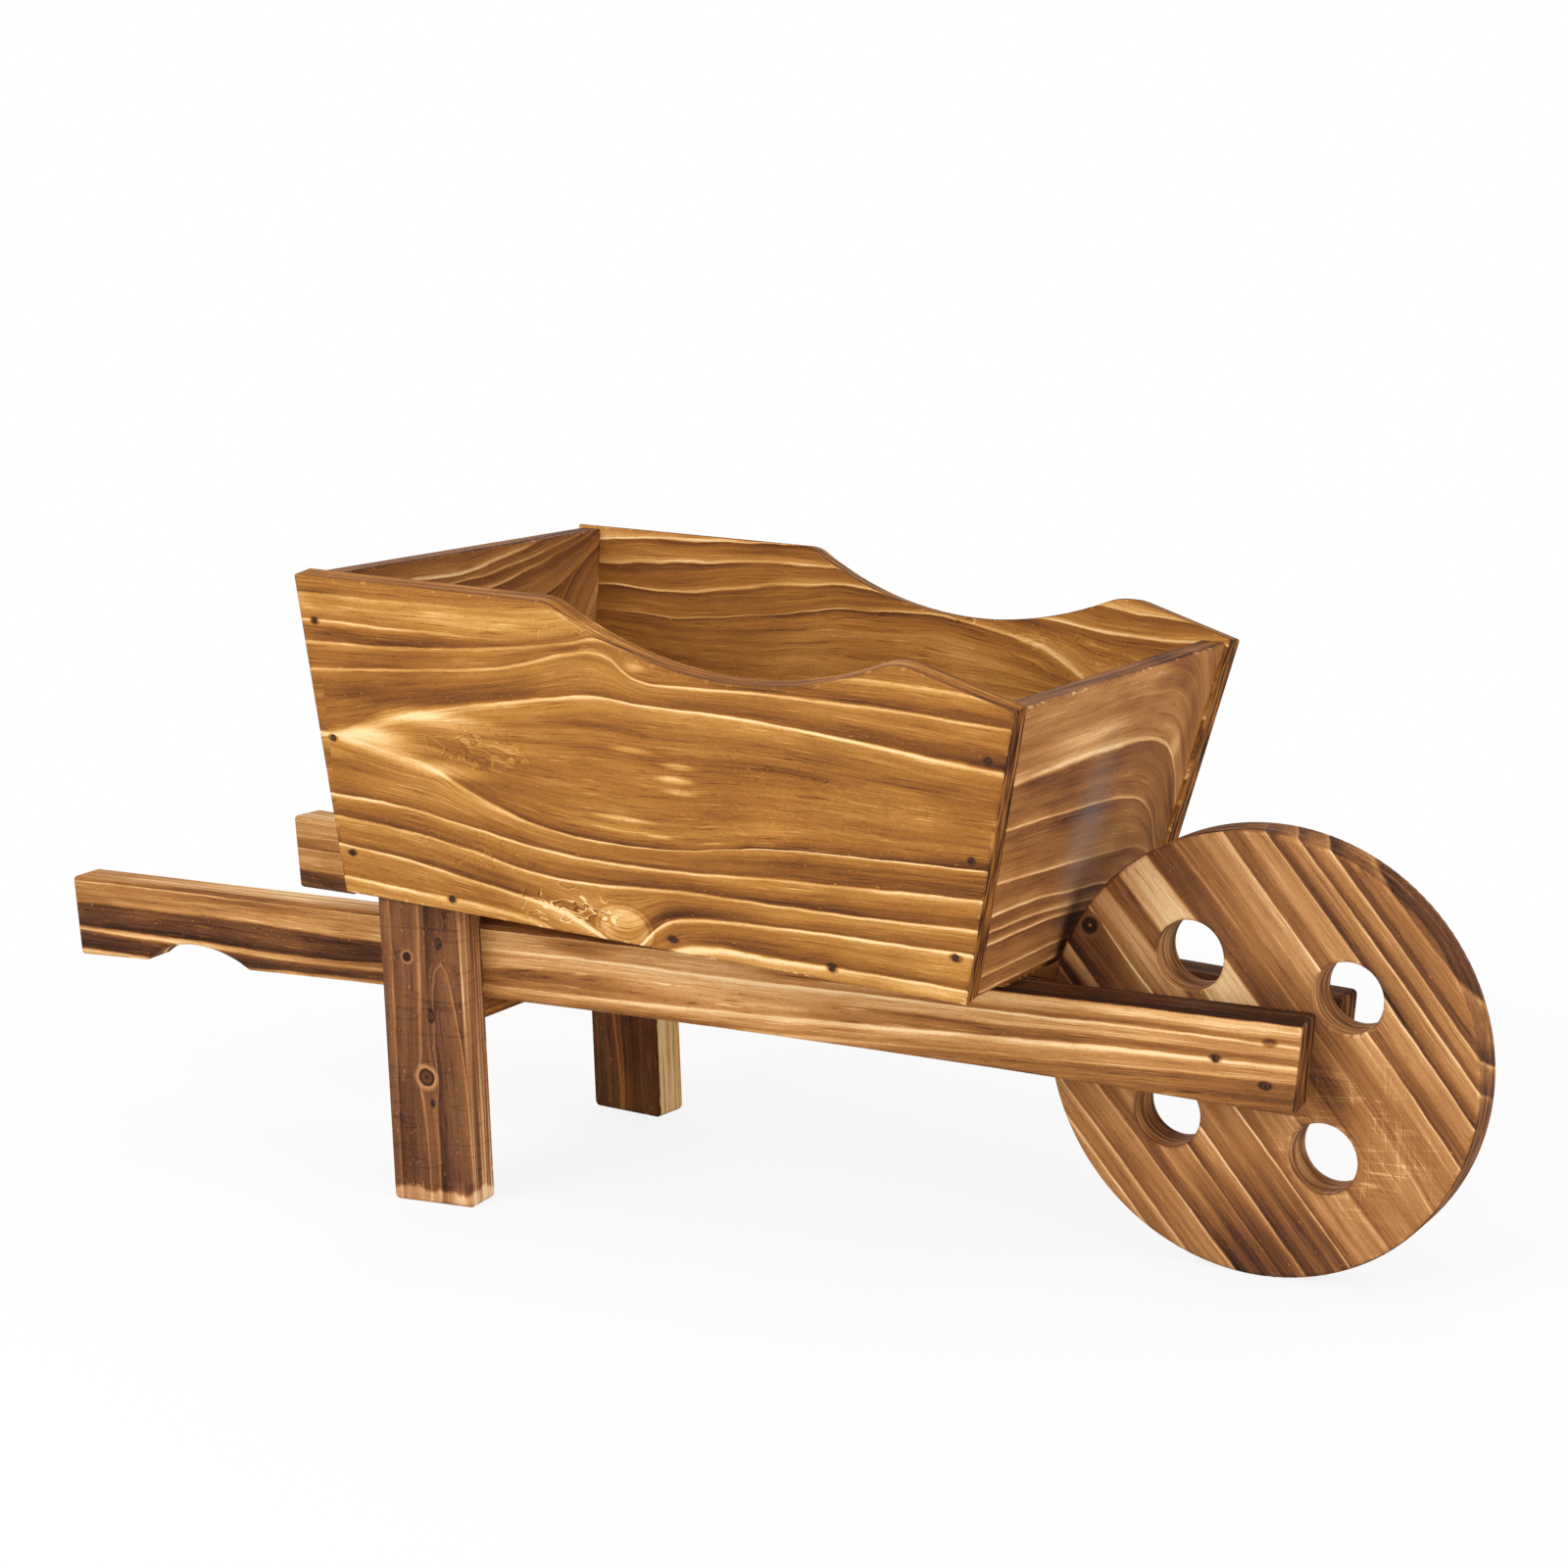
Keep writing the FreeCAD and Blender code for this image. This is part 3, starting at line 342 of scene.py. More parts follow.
# Soft borders of ovals, as shares of their size, and of a bare foot in millimetres
SPOT_BORDER = (0.2, 1.0)
BRUSH_BORDER = (0.55, 1.05)
KNOT_BORDER = (1.2, 1.9)
PIT_BORDER = (0.5, 1.2)
# border of a patch of painted sheen
PAINTED_SHEEN_BORDER = (0.1, 1.0)
SCRATCH_BORDER = (0.4, 1.0)
FOOT_BORDER = (-1.5, 2.0)

# Soft borders of faces, ends and edges, by the cosine of their turn
FACE_BORDER = (0.6, 0.9)
END_BORDER = (0.55, 0.85)
EDGE_BORDER = (0.995, 0.88)

# Noises and tones from low to high, and the tone or share that each is turned into
PRESENCE = (0.3, 0.6, 0.6, 1.1)
SPECKS = (0.7, 0.76)
SPECKED_TONES = (0.28, 0.48, 0.3, 0)
THREADS = (0.32, 0.68)
RIBS = (0.33, 0.66)
RIB_DARK = 0.2
RIB_PALE = 0.32
EDGE_BURN = (0.35, 0.6, -0.13, -0.312)
CHIPS = (0.59, 0.62, 0, 0.6)
WARMTH = (0.35, 0.7, 0, 0.07)
ROUGHNESS = (0.1, 0.95, 0.74, 0.54)

# Change of tone from the middle of an oval eye outwards
EYE_REACH = 1.6
EYE = ((0, 0.7), (0.7, 0.95), (0.88, 0.85), (0.99, 0.15), (1.08, 0.5), (1.2, -0.2), (1.4, 0), (1.6, 0))

# Knots reach three radii out, and pits are split along the grain
KNOT_REACH = 3
PIT_STRETCH = 1.7
PIT_BURN = 0.34

# Width of edges and relief in metres, and the shares of lines, fibres, hairlines and bands in the relief
EDGE_WIDTH = 0.003
RELIEF_HEIGHT = 0.0007
RELIEF_STRENGTH = 0.55
LINE_RELIEF = 0.8
FIBRE_RELIEF = 0.3
HAIR_RELIEF = 0.25
BAND_RELIEF = 0.35
DULL_GLOSS = 0.04


class Wood(Graph):
    """Charred and brushed softwood on one board, built up as a tone from 0, burnt, to 1, bare."""

    def __init__(self, name, board, seed):
        super().__init__(bpy.data.materials.new(name))
        self.board = board
        self.seed = seed
        coordinates = self.add("ShaderNodeTexCoord").outputs
        self.body_place = coordinates["Object"]
        self.normal = coordinates["Normal"]
        placing = {"Vector": self.body_place, "Location": board.origin, "Rotation": board.rotation,
                   "Scale": (MM, MM, MM)}
        self.place = self.add("ShaderNodeMapping", placing, vector_type="TEXTURE").outputs[0]
        self.u, self.h, self.normal_depth = self.split(self.place)
        self.depth = self.math("MULTIPLY", self.normal_depth, float(board.inward))
        self.slow = self.cloudy("slow", self.place)
        self.quick = self.cloudy("quick", self.place)

    def cloudy(self, name, place, further=0):
        """One of the wood's noises, from 0 to 1."""
        look = NOISES[name]
        seed = self.seed + look.step + further
        return self.noise(place, look.sizes, seed, look.detail, look.roughness, look.distortion)

    def oval(self, u, h, length, height):
        """Distance from the middle of an oval on the board's face, 1 at its border."""
        offset = self.vector("SUBTRACT", self.place, (u, h, 0))
        return self.vector("LENGTH", self.vector("MULTIPLY", offset, (1 / length, 1 / height, 0)))

    def ovals(self, rows):
        """For each spot, the distance from its middle and what it changes."""
        for row in rows:
            spot = Spot(*row)
            yield self.oval(spot.u, spot.h, spot.length, spot.height), spot.change

    def ragged(self, border, noise, spread):
        """A distance from a border that a noise makes uneven."""
        return self.math("ADD", border, self.centred(noise, spread))

    def facing(self, direction):
        """Cosine of the surface's turn from a direction."""
        return self.vector("DOT_PRODUCT", self.normal, tuple(direction))

    def lighten(self, change):
        self.tone = self.math("ADD", self.tone, change)

    def mark(self, noise, fade, strength=1.0):
        self.lighten(self.span(noise, fade.start, fade.full, 0, fade.change * strength))

    def grain_height(self, tilt, wander, knots):
        """Height across the grain, which wanders, drifts through the board and bends round knots."""
        h = self.math("MULTIPLY_ADD", self.depth, tilt, self.h)
        h = self.ragged(h, self.slow, 2 * wander)
        h = self.ragged(h, self.quick, QUICK_WANDER)
        for knot in knots:
            apart = self.oval(knot.u, knot.h, knot.radius / KNOT_BEND_LENGTH, knot.radius / KNOT_BEND_HEIGHT)
            share = self.span(apart, 0, 1, knot.push, 0)
            bend = self.math("MULTIPLY", share, self.math("SUBTRACT", self.h, knot.h))
            h = self.math("SUBTRACT", h, bend)
        return h

    def lay_rings(self, rings, h, burn):
        """Base tone, pale lines and the straightened flow of the grain, from the board's ring borders."""
        low, high = rings.reach
        self.tone = self.curve(self.u, rings.tones[0], low, high, 0, 1)
        self.relief = 0.0
        drift = None
        previous = None
        for row, tone in zip(rings.lines, rings.tones[1:]):
            line = Line(*row)
            border = self.curve(self.u, line.course, low, high, H_LOW, H_HIGH)
            gap = self.math("SUBTRACT", h, border)
            above = self.curve(self.u, tone, low, high, 0, 1)
            self.tone = self.blend(self.span(gap, -line.soft, line.soft), self.tone, above)
            if line.pale == 0 and line.dark == 0:
                continue
            if line.width != 1:
                gap = self.math("DIVIDE", gap, self.curve(self.u, line.width, low, high, 0, WIDEST_LINE))
            gap = self.math("MULTIPLY", gap, float(burn))
            profile = self.curve(gap, PROFILE, -PROFILE_REACH, PROFILE_REACH, -1, 1, "VECTOR")
            pale = self.math("MULTIPLY", self.math("MAXIMUM", profile, 0.0),
                             self.curve(self.u, line.pale, low, high, 0, 1))
            dark = self.math("MULTIPLY", self.math("MINIMUM", profile, 0.0),
                             self.curve(self.u, line.dark, low, high, 0, 1))
            self.relief = self.math("ADD", self.relief, self.math("ADD", pale, dark))
            middle = line.course
            if isinstance(middle, tuple):
                middle = sum(height for _, height in line.course) / len(line.course)
            shift = self.math("SUBTRACT", border, middle)
            if drift is None:
                drift = shift
            else:
                drift = self.blend(self.span(h, previous, border, smooth=False), drift, shift)
            previous = border
        self.flow = self.combine(self.u, self.math("SUBTRACT", h, drift), self.depth)

    def add_fibres(self, gain, streak, blotch):
        """Pale lines that come and go, fibres, hairlines, bands, burn clouds, pores and grit."""
        presence = self.span(self.cloudy("presence", self.flow), *PRESENCE)
        self.relief = self.math("MULTIPLY", self.relief, presence)
        self.fibre = self.cloudy("fibre", self.flow)
        self.hair = self.cloudy("hair", self.flow)
        self.band = self.cloudy("band", self.flow)
        self.tone = self.math("MULTIPLY_ADD", self.relief, gain, self.tone)
        self.lighten(self.centred(self.fibre, FIBRE_SPREAD * streak))
        self.mark(self.hair, DARK_HAIRS, streak)
        self.mark(self.hair, PALE_HAIRS, streak)
        self.lighten(self.centred(self.band, BAND_SPREAD * streak))
        self.lighten(self.centred(self.cloudy("cloud", self.flow), CLOUD_SPREAD * blotch))
        self.mark(self.cloudy("pore", self.flow), PORES)
        self.lighten(self.centred(self.cloudy("grit", self.place), GRIT_SPREAD))

    def add_saw_marks(self, strength):
        """Faint saw marks across the grain."""
        cut = self.cloudy("saw", self.combine(self.u, self.h, self.depth))
        self.lighten(self.contour(cut, MIDDLE, SAW_LINE, -strength))

    def add_spots(self, spots):
        """Pale or dark patches that lie along the grain."""
        for apart, change in self.ovals(spots):
            apart = self.ragged(apart, self.band, SPOT_RAGGED)
            self.lighten(self.span(apart, *SPOT_BORDER, change, 0))

    def add_brush_marks(self, spots):
        """Thin winding marks of the brush, with a groove beside them."""
        winding = self.cloudy("winding", self.place)
        thin = self.contour(winding, MIDDLE, BRUSH_LINE)
        groove = self.contour(winding, GROOVE_LEVEL, GROOVE_LINE, GROOVE_STRENGTH)
        thin = self.math("SUBTRACT", thin, groove)
        for apart, change in self.ovals(spots):
            self.lighten(self.math("MULTIPLY", self.span(apart, *BRUSH_BORDER, change, 0), thin))

    def add_eyes(self, eyes):
        """Oval eyes where the grain turns back: a bare middle inside pale outlines."""
        for apart, change in self.ovals(eyes):
            apart = self.ragged(apart, self.slow, EYE_RAGGED)
            look = self.curve(apart, EYE, 0, EYE_REACH, -1, 1, "VECTOR")
            self.lighten(self.math("MULTIPLY", look, change))

    def burn_faces_and_paint_light(self, faces):
        """Faces of the bar turned a given way, made darker or lighter than the rest: burnt tops, and painted
        light on the legs' wheel-side faces.
        """
        for direction, change in faces:
            self.lighten(self.span(self.facing(direction), *FACE_BORDER, 0, change))

    def bare_foot(self, height, change):
        """A foot that has lost its burnt skin up to a ragged border."""
        noise = self.cloudy("foot", self.combine(0.0, self.h, self.depth))
        above = self.ragged(self.math("SUBTRACT", self.u, height), noise, FOOT_RAGGED)
        self.lighten(self.span(above, *FOOT_BORDER, change, 0))

    def add_specks(self):
        """Pale specks where brushing broke the burnt skin."""
        burnt = self.span(self.tone, *SPECKED_TONES)
        speck = self.span(self.cloudy("speck", self.place), *SPECKS)
        self.lighten(self.math("MULTIPLY", burnt, speck))

    def add_knots(self, knots):
        """Dark rings, with or without a pale halo."""
        for knot in knots:
            apart = self.oval(knot.u, knot.h, knot.radius, knot.radius)
            apart = self.ragged(apart, self.quick, KNOT_RAGGED)
            tones = (
                (0, knot.core), (0.2, max(knot.core, 0.04)), (0.35, knot.heart), (0.7, knot.heart),
                (0.85, 0.03), (1, 0.06), (1.15, knot.halo), (KNOT_REACH, knot.halo),
            )
            look = self.curve(apart, tones, 0, KNOT_REACH, 0, 1, "VECTOR")
            self.tone = self.blend(self.span(apart, *KNOT_BORDER, 1, 0), self.tone, look)

    def add_pits(self, pits):
        """Small dark pits round nails, split along the grain."""
        for u, h, radius in pits:
            apart = self.oval(u, h, PIT_STRETCH * radius, radius)
            apart = self.ragged(apart, self.quick, PIT_RAGGED)
            self.lighten(self.span(apart, *PIT_BORDER, -PIT_BURN, 0))

    def line_narrow_faces(self, strength):
        """Fine lines along the grain on the board's narrow faces."""
        beside = self.math("ABSOLUTE", self.facing(self.board.across))
        thread = self.cloudy("thread", self.combine(self.depth, self.u, self.h))
        lined = self.span(thread, *THREADS, -strength, strength)
        self.lighten(self.math("MULTIPLY", self.span(beside, *FACE_BORDER), lined))

    def cut_ends(self, end_tone):
        """End grain, with ribs along the growth rings."""
        endwise = self.math("ABSOLUTE", self.facing(self.board.along))
        rib = self.cloudy("rib", self.combine(self.depth, self.h, self.u))
        rib_tone = self.span(rib, *RIBS, end_tone - RIB_DARK, end_tone + RIB_PALE)
        self.tone = self.blend(self.span(endwise, *END_BORDER), self.tone, rib_tone)

    def burn_edges(self):
        """Burnt edges, with small chips that show bare wood."""
        rounded = self.add("ShaderNodeBevel", {"Radius": EDGE_WIDTH}, samples=4).outputs[0]
        sharp = self.add("ShaderNodeNewGeometry").outputs["Normal"]
        edge = self.span(self.vector("DOT_PRODUCT", rounded, sharp), *EDGE_BORDER)
        chip = self.cloudy("chip", self.body_place)
        self.lighten(self.math("MULTIPLY", edge, self.span(chip, *EDGE_BURN)))
        self.lighten(self.math("MULTIPLY", edge, self.span(chip, *CHIPS)))

    def surface(self, shade, dust, painted_sheen):
        """Colour with a slow change of hue and any grey patches of painted sheen, relief and roughness."""
        tone = self.math("ADD", self.tone, shade, clamp=True)
        colour = self.ramp(tone, char_ramp(dust))
        warm_share = self.span(self.cloudy("warmth", self.place), *WARMTH)
        colour = self.tint(warm_share, colour, WARM_TINT, "SOFT_LIGHT")
        # Patches of painted sheen: the colour is mixed towards grey
        for apart, share in self.ovals(painted_sheen):
            colour = self.tint(self.span(apart, *PAINTED_SHEEN_BORDER, share, 0), colour, PAINTED_SHEEN_GREY)
        height = self.math("MULTIPLY", self.relief, LINE_RELIEF)
        for noise, share in ((self.fibre, FIBRE_RELIEF), (self.hair, HAIR_RELIEF), (self.band, BAND_RELIEF)):
            height = self.math("MULTIPLY_ADD", noise, share, height)
        bump = self.add("ShaderNodeBump", {"Strength": RELIEF_STRENGTH, "Distance": RELIEF_HEIGHT,
                                           "Height": height})
        roughness = self.span(tone, *ROUGHNESS, smooth=False)
        shader = self.add("ShaderNodeBsdfPrincipled", {
            "Base Color": colour, "Roughness": roughness, "Normal": bump.outputs[0],
            "Specular IOR Level": DULL_GLOSS})
        return self.end(shader)


def wood(name, board, rings, seed, tilt=1.0, wander=1.5, burn=1, gain=1.0, streak=1.0, blotch=1.0, saw=0.0,
         spots=(), squiggles=(), eyes=(), faces=(), foot=None, knots=(), pits=(), edge_grain=0.12,
         end_tone=0.3, wear=None, shade=0.0, dust=0.0, painted_sheen=()):
    """One board's material: grain and fibres, then marks, narrow faces, ends, edges and colour."""
    w = Wood(name, board, seed)
    knots = [Knot(*row) for row in knots]
    w.lay_rings(rings, w.grain_height(tilt, wander, knots), burn)
    w.add_fibres(gain, streak, blotch)
    if saw:
        w.add_saw_marks(saw)
    w.add_spots(spots)
    if squiggles:
        w.add_brush_marks(squiggles)
    w.add_eyes(eyes)
    # Burnt tops, and painted light on the legs' wheel-side faces
    w.burn_faces_and_paint_light(faces)
    if foot:
        w.bare_foot(*foot)
    w.add_specks()
    w.add_knots(knots)
    w.add_pits(pits)
    w.line_narrow_faces(edge_grain)
    w.cut_ends(end_tone)
    if wear:
        wear(w)
    w.burn_edges()
    return w.surface(shade, dust, painted_sheen)


def dress(node, material):
    mesh = NODES[node].data
    mesh.materials.clear()
    mesh.materials.append(material)


def turn(degrees, axis):
    return Matrix.Rotation(math.radians(degrees), 3, axis)


# Side panels
PANEL_REACH = (-40.0, 490.0)
SWIRL_DARK = ((-40, 0.35), (110, 0.35), (150, 0.12), (215, 0.12), (245, 0.35), (490, 0.35))
PANEL_LINES = (
    (((-40, 11), (0, 10.3), (50, 9), (110, 6.6), (144, 3), (165, -4), (215, -9), (240, 1), (252, 5),
      (313, 7), (430, 9), (490, 10)),
     0.3, SWIRL_DARK, ((-40, 1), (60, 1.4), (130, 2.4), (240, 3), (300, 1.6), (490, 1))),
    (((-40, 33), (5, 31), (47, 28.7), (90, 23.7), (123, 19.5), (146, 16), (168, 11), (184, 4), (205, -4),
      (215, 0), (221, 6), (226, 11), (232, 15.5), (240, 19), (257, 22.5), (313, 26), (380, 28.7),
      (430, 30.3), (490, 31)),
     0.32, SWIRL_DARK,
     ((-40, 0.9), (80, 1), (130, 1.4), (180, 2), (215, 1.6), (240, 1.5), (320, 1), (490, 1))),
    (((-40, 49.5), (0, 48.7), (47, 47), (90, 43), (140, 34.7), (167, 32.7), (197, 33.7), (247, 37.7),
      (313, 39), (380, 42), (433, 44.7), (490, 47)), 0.3, 0.4),
    (((-40, 63), (0, 62.7), (47, 62), (90, 57), (147, 50.3), (197, 48), (247, 49.3), (313, 54.7),
      (380, 58.7), (443, 62), (490, 64)), 0.32, 0.4),
    (((-40, 102), (7, 100.5), (47, 93.7), (77, 89.7), (93, 82), (113, 73.7), (147, 64.7), (197, 60.3),
      (247, 62.7), (297, 70.3), (330, 73.7), (380, 76), (443, 79.3), (490, 81)),
     ((-40, 0.2), (30, 0.14), (90, 0.2), (150, 0.3), (490, 0.32)),
     ((-40, 0.4), (-8, 0.15), (10, 0), (56, 0), (110, 0.35), (490, 0.4)),
     ((-40, 1), (5, 1.4), (30, 3), (80, 2), (110, 2.2), (150, 1), (490, 1))),
    (((-40, 101), (7, 102), (47, 115.3), (80, 123.7), (123, 133.7), (167, 142), (193, 146), (230, 144.7),
      (297, 144.7), (363, 140.3), (413, 136), (453, 133.7), (490, 132)),
     ((-40, 0.2), (40, 0.15), (100, 0.2), (170, 0.3), (490, 0.32)), 0.35,
     ((-40, 1), (10, 2), (40, 4.5), (80, 3.6), (120, 2), (170, 1.1), (330, 1), (420, 1.6), (490, 1.8))),
    (((-40, 140), (0, 142), (77, 148.7), (130, 155.3), (180, 168.7), (197, 172), (210, 170), (218, 164),
      (227, 159.5), (263, 158.7), (327, 161), (457, 158), (490, 157)), 0.24, 0.35),
    (((-40, 157), (0, 157.7), (77, 161.3), (130, 167), (180, 175.3), (205, 181), (260, 178), (330, 176),
      (400, 175), (490, 173)), 0.12, 0.34),
    (((-40, 170), (0, 171), (80, 172), (147, 173.7), (187, 180.3), (205, 187), (260, 191), (490, 192)),
     ((-40, 0.22), (50, 0.2), (100, 0.04), (490, 0.04)),
     ((-40, 0.2), (60, 0.15), (110, 0.05), (490, 0.05))),
    (((-40, 186), (0, 187), (80, 188.5), (150, 191), (200, 197), (490, 202)), 0.06,
     ((-40, 0.4), (40, 0.2), (100, 0.1), (490, 0.1))),
)
PANEL_TONES = (
    0.64, 0.61, 0.58, 0.55,
    ((-40, 0.57), (250, 0.56), (340, 0.51), (490, 0.48)),
    ((-40, 0.58), (40, 0.64), (90, 0.58), (200, 0.56), (330, 0.52), (490, 0.48)),
    ((-40, 0.57), (200, 0.58), (330, 0.53), (490, 0.49)),
    ((-40, 0.6), (200, 0.58), (300, 0.55), (490, 0.54)),
    0.65, 0.72, 0.64,
)
PANEL_RINGS = Rings(PANEL_LINES, PANEL_TONES, PANEL_REACH)
PANEL_SPOTS = (
    (30, 102, 44, 10, 0.27), (88, 119, 60, 8, 0.24), (86, 89, 46, 7, 0.3), (50, 94, 26, 5, 0.16),
    (220, 118, 18, 2.4, 0.24), (250, 112, 14, 2.4, 0.3), (247, 104, 18, 3.4, 0.34),
    (250, 97, 16, 2.6, 0.26), (212, 76.5, 30, 2.2, 0.26), (233, 69, 14, 1.8, 0.24), (176, 14, 44, 17, 0.14),
    (190, 130, 46, 4, -0.12), (395, 121, 44, 4, -0.12), (130, 116, 34, 8, -0.06),
    (20, 84, 44, 10, -0.1), (15, 130, 50, 8, -0.1), (8, 186, 24, 9, -0.1), (120, 52, 60, 6, -0.06),
    (10, 165, 36, 4, -0.12), (330, 118, 70, 5, -0.06), (180, 172, 30, 5, -0.1),
    (200, 186, 20, 8, 0.1), (225, 166, 12, 5, 0.2), (110, 180, 70, 7, 0.08),
)
PANEL_SQUIGGLES = (
    (112, 105, 44, 16, 0.12), (166, 15, 40, 18, 0.32), (96, 42, 60, 18, 0.08), (330, 95, 120, 40, 0.04),
    (186, 180, 34, 9, 0.08),
)
PANEL_EYES = ((206, 9.5, 17, 11.5, 0.3),)
PANEL_PITS = (
    (0.2, 171, 2.4), (4.6, 99, 2.4), (8.9, 27, 2.4), (82, 8, 2.6), (238, 8, 2.6), (342, 8, 2.6),
    (419.1, 27, 2.8), (430.9, 83.5, 1.6), (442.8, 140, 1.6),
)
PANEL_TILT = 2.2
BURNT_TOP = ((UPWARDS, -0.2),)

# The far panel is the same board turned end for end about the middle of this length and height
PANEL_LENGTH = 450.0
PANEL_HEIGHT = 190.0
FAR_PANEL_PITS = tuple((PANEL_LENGTH - u, PANEL_HEIGHT - h, radius) for u, h, radius in PANEL_PITS)


def panel_board(side, turned=False):
    """A side panel's outer face, from its lower handle-end corner, or turned end for end."""
    tilt = turn(BOX_PITCH, "Y") @ turn(-side * SIDE_FLARE, "X")
    origin = BOX_ORIGIN + side * BOX_HALF_WIDTH * LEFTWARDS
    if turned:
        corner = origin + PANEL_LENGTH * tilt.col[0] + PANEL_HEIGHT * tilt.col[2]
        return Board(corner, -tilt.col[0], -tilt.col[2], inward=side)
    return Board(origin, tilt.col[0], tilt.col[2], inward=side)


dress("right_side_panel", wood(
    "side_board_right", panel_board(-1), PANEL_RINGS, seed=1, tilt=PANEL_TILT, gain=1.42, spots=PANEL_SPOTS,
    squiggles=PANEL_SQUIGGLES, eyes=PANEL_EYES, faces=BURNT_TOP, pits=PANEL_PITS, end_tone=0.18))
dress("left_side_panel", wood(
    "side_board_left", panel_board(1, turned=True), PANEL_RINGS, seed=23, tilt=PANEL_TILT, wander=9,
    gain=1.25, spots=PANEL_SPOTS[:3], squiggles=PANEL_SQUIGGLES[1:], faces=BURNT_TOP, pits=FAR_PANEL_PITS,
    end_tone=0.22))

# End panels
END_REACH = (-150.0, 150.0)
END_FADE = ((-150, 0.38), (40, 0.36), (85, 0.18), (150, 0.1))
END_LINES = (
    (((-150, 2), (-57, 2), (0, 1), (150, -12)), END_FADE, 0.3),
    (((-150, 12), (-57, 11.7), (-14, 11), (60, 4), (150, -10)), END_FADE, 0.3),
    (((-150, 30.5), (-57, 30), (-14, 28), (60, 17), (150, -2)), END_FADE, 0.3),
    (((-150, 38), (-57, 37), (-14, 33), (60, 24), (150, 4)), END_FADE, 0.25),
    (((-150, 47), (-57, 46.7), (-14, 41.7), (26, 38), (80, 26), (150, 8)), END_FADE, 0.35),
    (((-150, 68), (-104, 66.7), (-57, 63.3), (-7, 60), (33, 56.7), (76, 50), (110, 34), (150, 14)),
     END_FADE, 0.3),
    (((-150, 100), (-107, 98.3), (-40, 95), (0, 93.3), (33, 90), (60, 83), (80, 70), (105, 40), (150, 18)),
     END_FADE, 0.3),
    (((-150, 126), (-97, 125.5), (-40, 126), (0, 125), (40, 123.3), (66, 118), (84, 110), (100, 94),
      (118, 66), (150, 30)),
     ((-150, 0.32), (70, 0.32), (100, 0.2), (150, 0.1)), 0.25, ((-150, 2), (0, 2.2), (60, 1.4), (150, 1))),
    (((-150, 150), (-40, 152), (40, 151), (90, 140), (120, 108), (150, 60)), 0.05, 0.12),
    (((-150, 171), (0, 174), (90, 166), (125, 130), (150, 90)), 0.04, 0.1),
)
END_TONES = (0.43, 0.43, 0.44, 0.44, 0.46, 0.45, 0.44, 0.44, 0.57, 0.56, 0.5)
END_RINGS = Rings(END_LINES, END_TONES, END_REACH)
END_SPOTS = (
    (92, 112, 12, 12, 0.1), (108, 96, 18, 66, -0.16), (0, 20, 60, 34, -0.05), (-30, 140, 70, 8, 0.1),
    (70, 158, 40, 16, -0.12),
)
# A patch of grey painted sheen in the middle of the wheel-end panel
END_PAINTED_SHEEN = ((-8, 80, 36, 72, 0.36),)
END_TILT = 1.8
END_HEIGHT = 185.0  # where the turned board's origin is, above the panel's foot


def end_board(foot, lean, facing, turned=False):
    """An end panel's face, from the middle of its foot, or turned upside down."""
    tilt = turn(BOX_PITCH, "Y")
    up = tilt @ turn(lean, "Y") @ UPWARDS
    origin = BOX_ORIGIN + foot * tilt.col[0]
    if turned:
        return Board(origin + END_HEIGHT * up, -facing * LEFTWARDS, -up)
    return Board(origin, facing * LEFTWARDS, up)


# The wheel-end panel carries a patch of grey painted sheen.
dress("wheel_end_panel", wood(
    "end_board_wheel", end_board(WHEEL_END_FOOT, WHEEL_END_LEAN, 1), END_RINGS, seed=5, tilt=END_TILT,
    burn=-1, streak=0.7, blotch=1.9, spots=END_SPOTS, faces=BURNT_TOP, shade=0.02, dust=0.5, painted_sheen=END_PAINTED_SHEEN))
dress("handle_end_panel", wood(
    "end_board_handle", end_board(HANDLE_END_FOOT, -HANDLE_END_LEAN, -1, turned=True), END_RINGS, seed=31,
    tilt=END_TILT, wander=7, faces=BURNT_TOP, shade=0.04, dust=0.4))

# Rails
RAIL_REACH = (-800.0, 60.0)
RAIL_LINES = (
    (((-800, -47.4), (-660, -47), (-603, -45), (-524, -44), (-450, -45), (-300, -44.5), (-150, -39),
      (0, -33.6), (60, -32)), 0.18, 0.2),
    (((-800, -34.6), (-686, -36), (-603, -38), (-524, -36), (-450, -37), (-300, -34.7), (-150, -29.2),
      (0, -24.9), (60, -24.4)),
     0.36, 0.2, ((-800, 1.1), (-650, 1.5), (-500, 1.2), (-300, 1.8), (60, 1.2))),
    (((-800, -33), (-686, -33), (-603, -34.6), (-560, -33.4), (-524, -31), (-450, -24), (-300, -21.7),
      (-150, -20.6), (60, -19.5)), 0.14, 0.1),
    (((-800, -16.7), (-686, -16.2), (-603, -17.3), (-524, -17.9), (-450, -14.1), (-300, -14.1),
      (-150, -13.5), (60, -13)),
     ((-800, 0.12), (-480, 0.12), (-430, 0.2), (60, 0.26)), 0.1),
    (((-800, -8.7), (-450, -9.8), (-150, -9.2), (60, -8.7)), 0.05, 0.05, 1, 3),
    (((-800, -2.6), (-465, -2.6), (-250, -2.2), (60, -2.2)), 0.14, 0.9, 0.6),
)
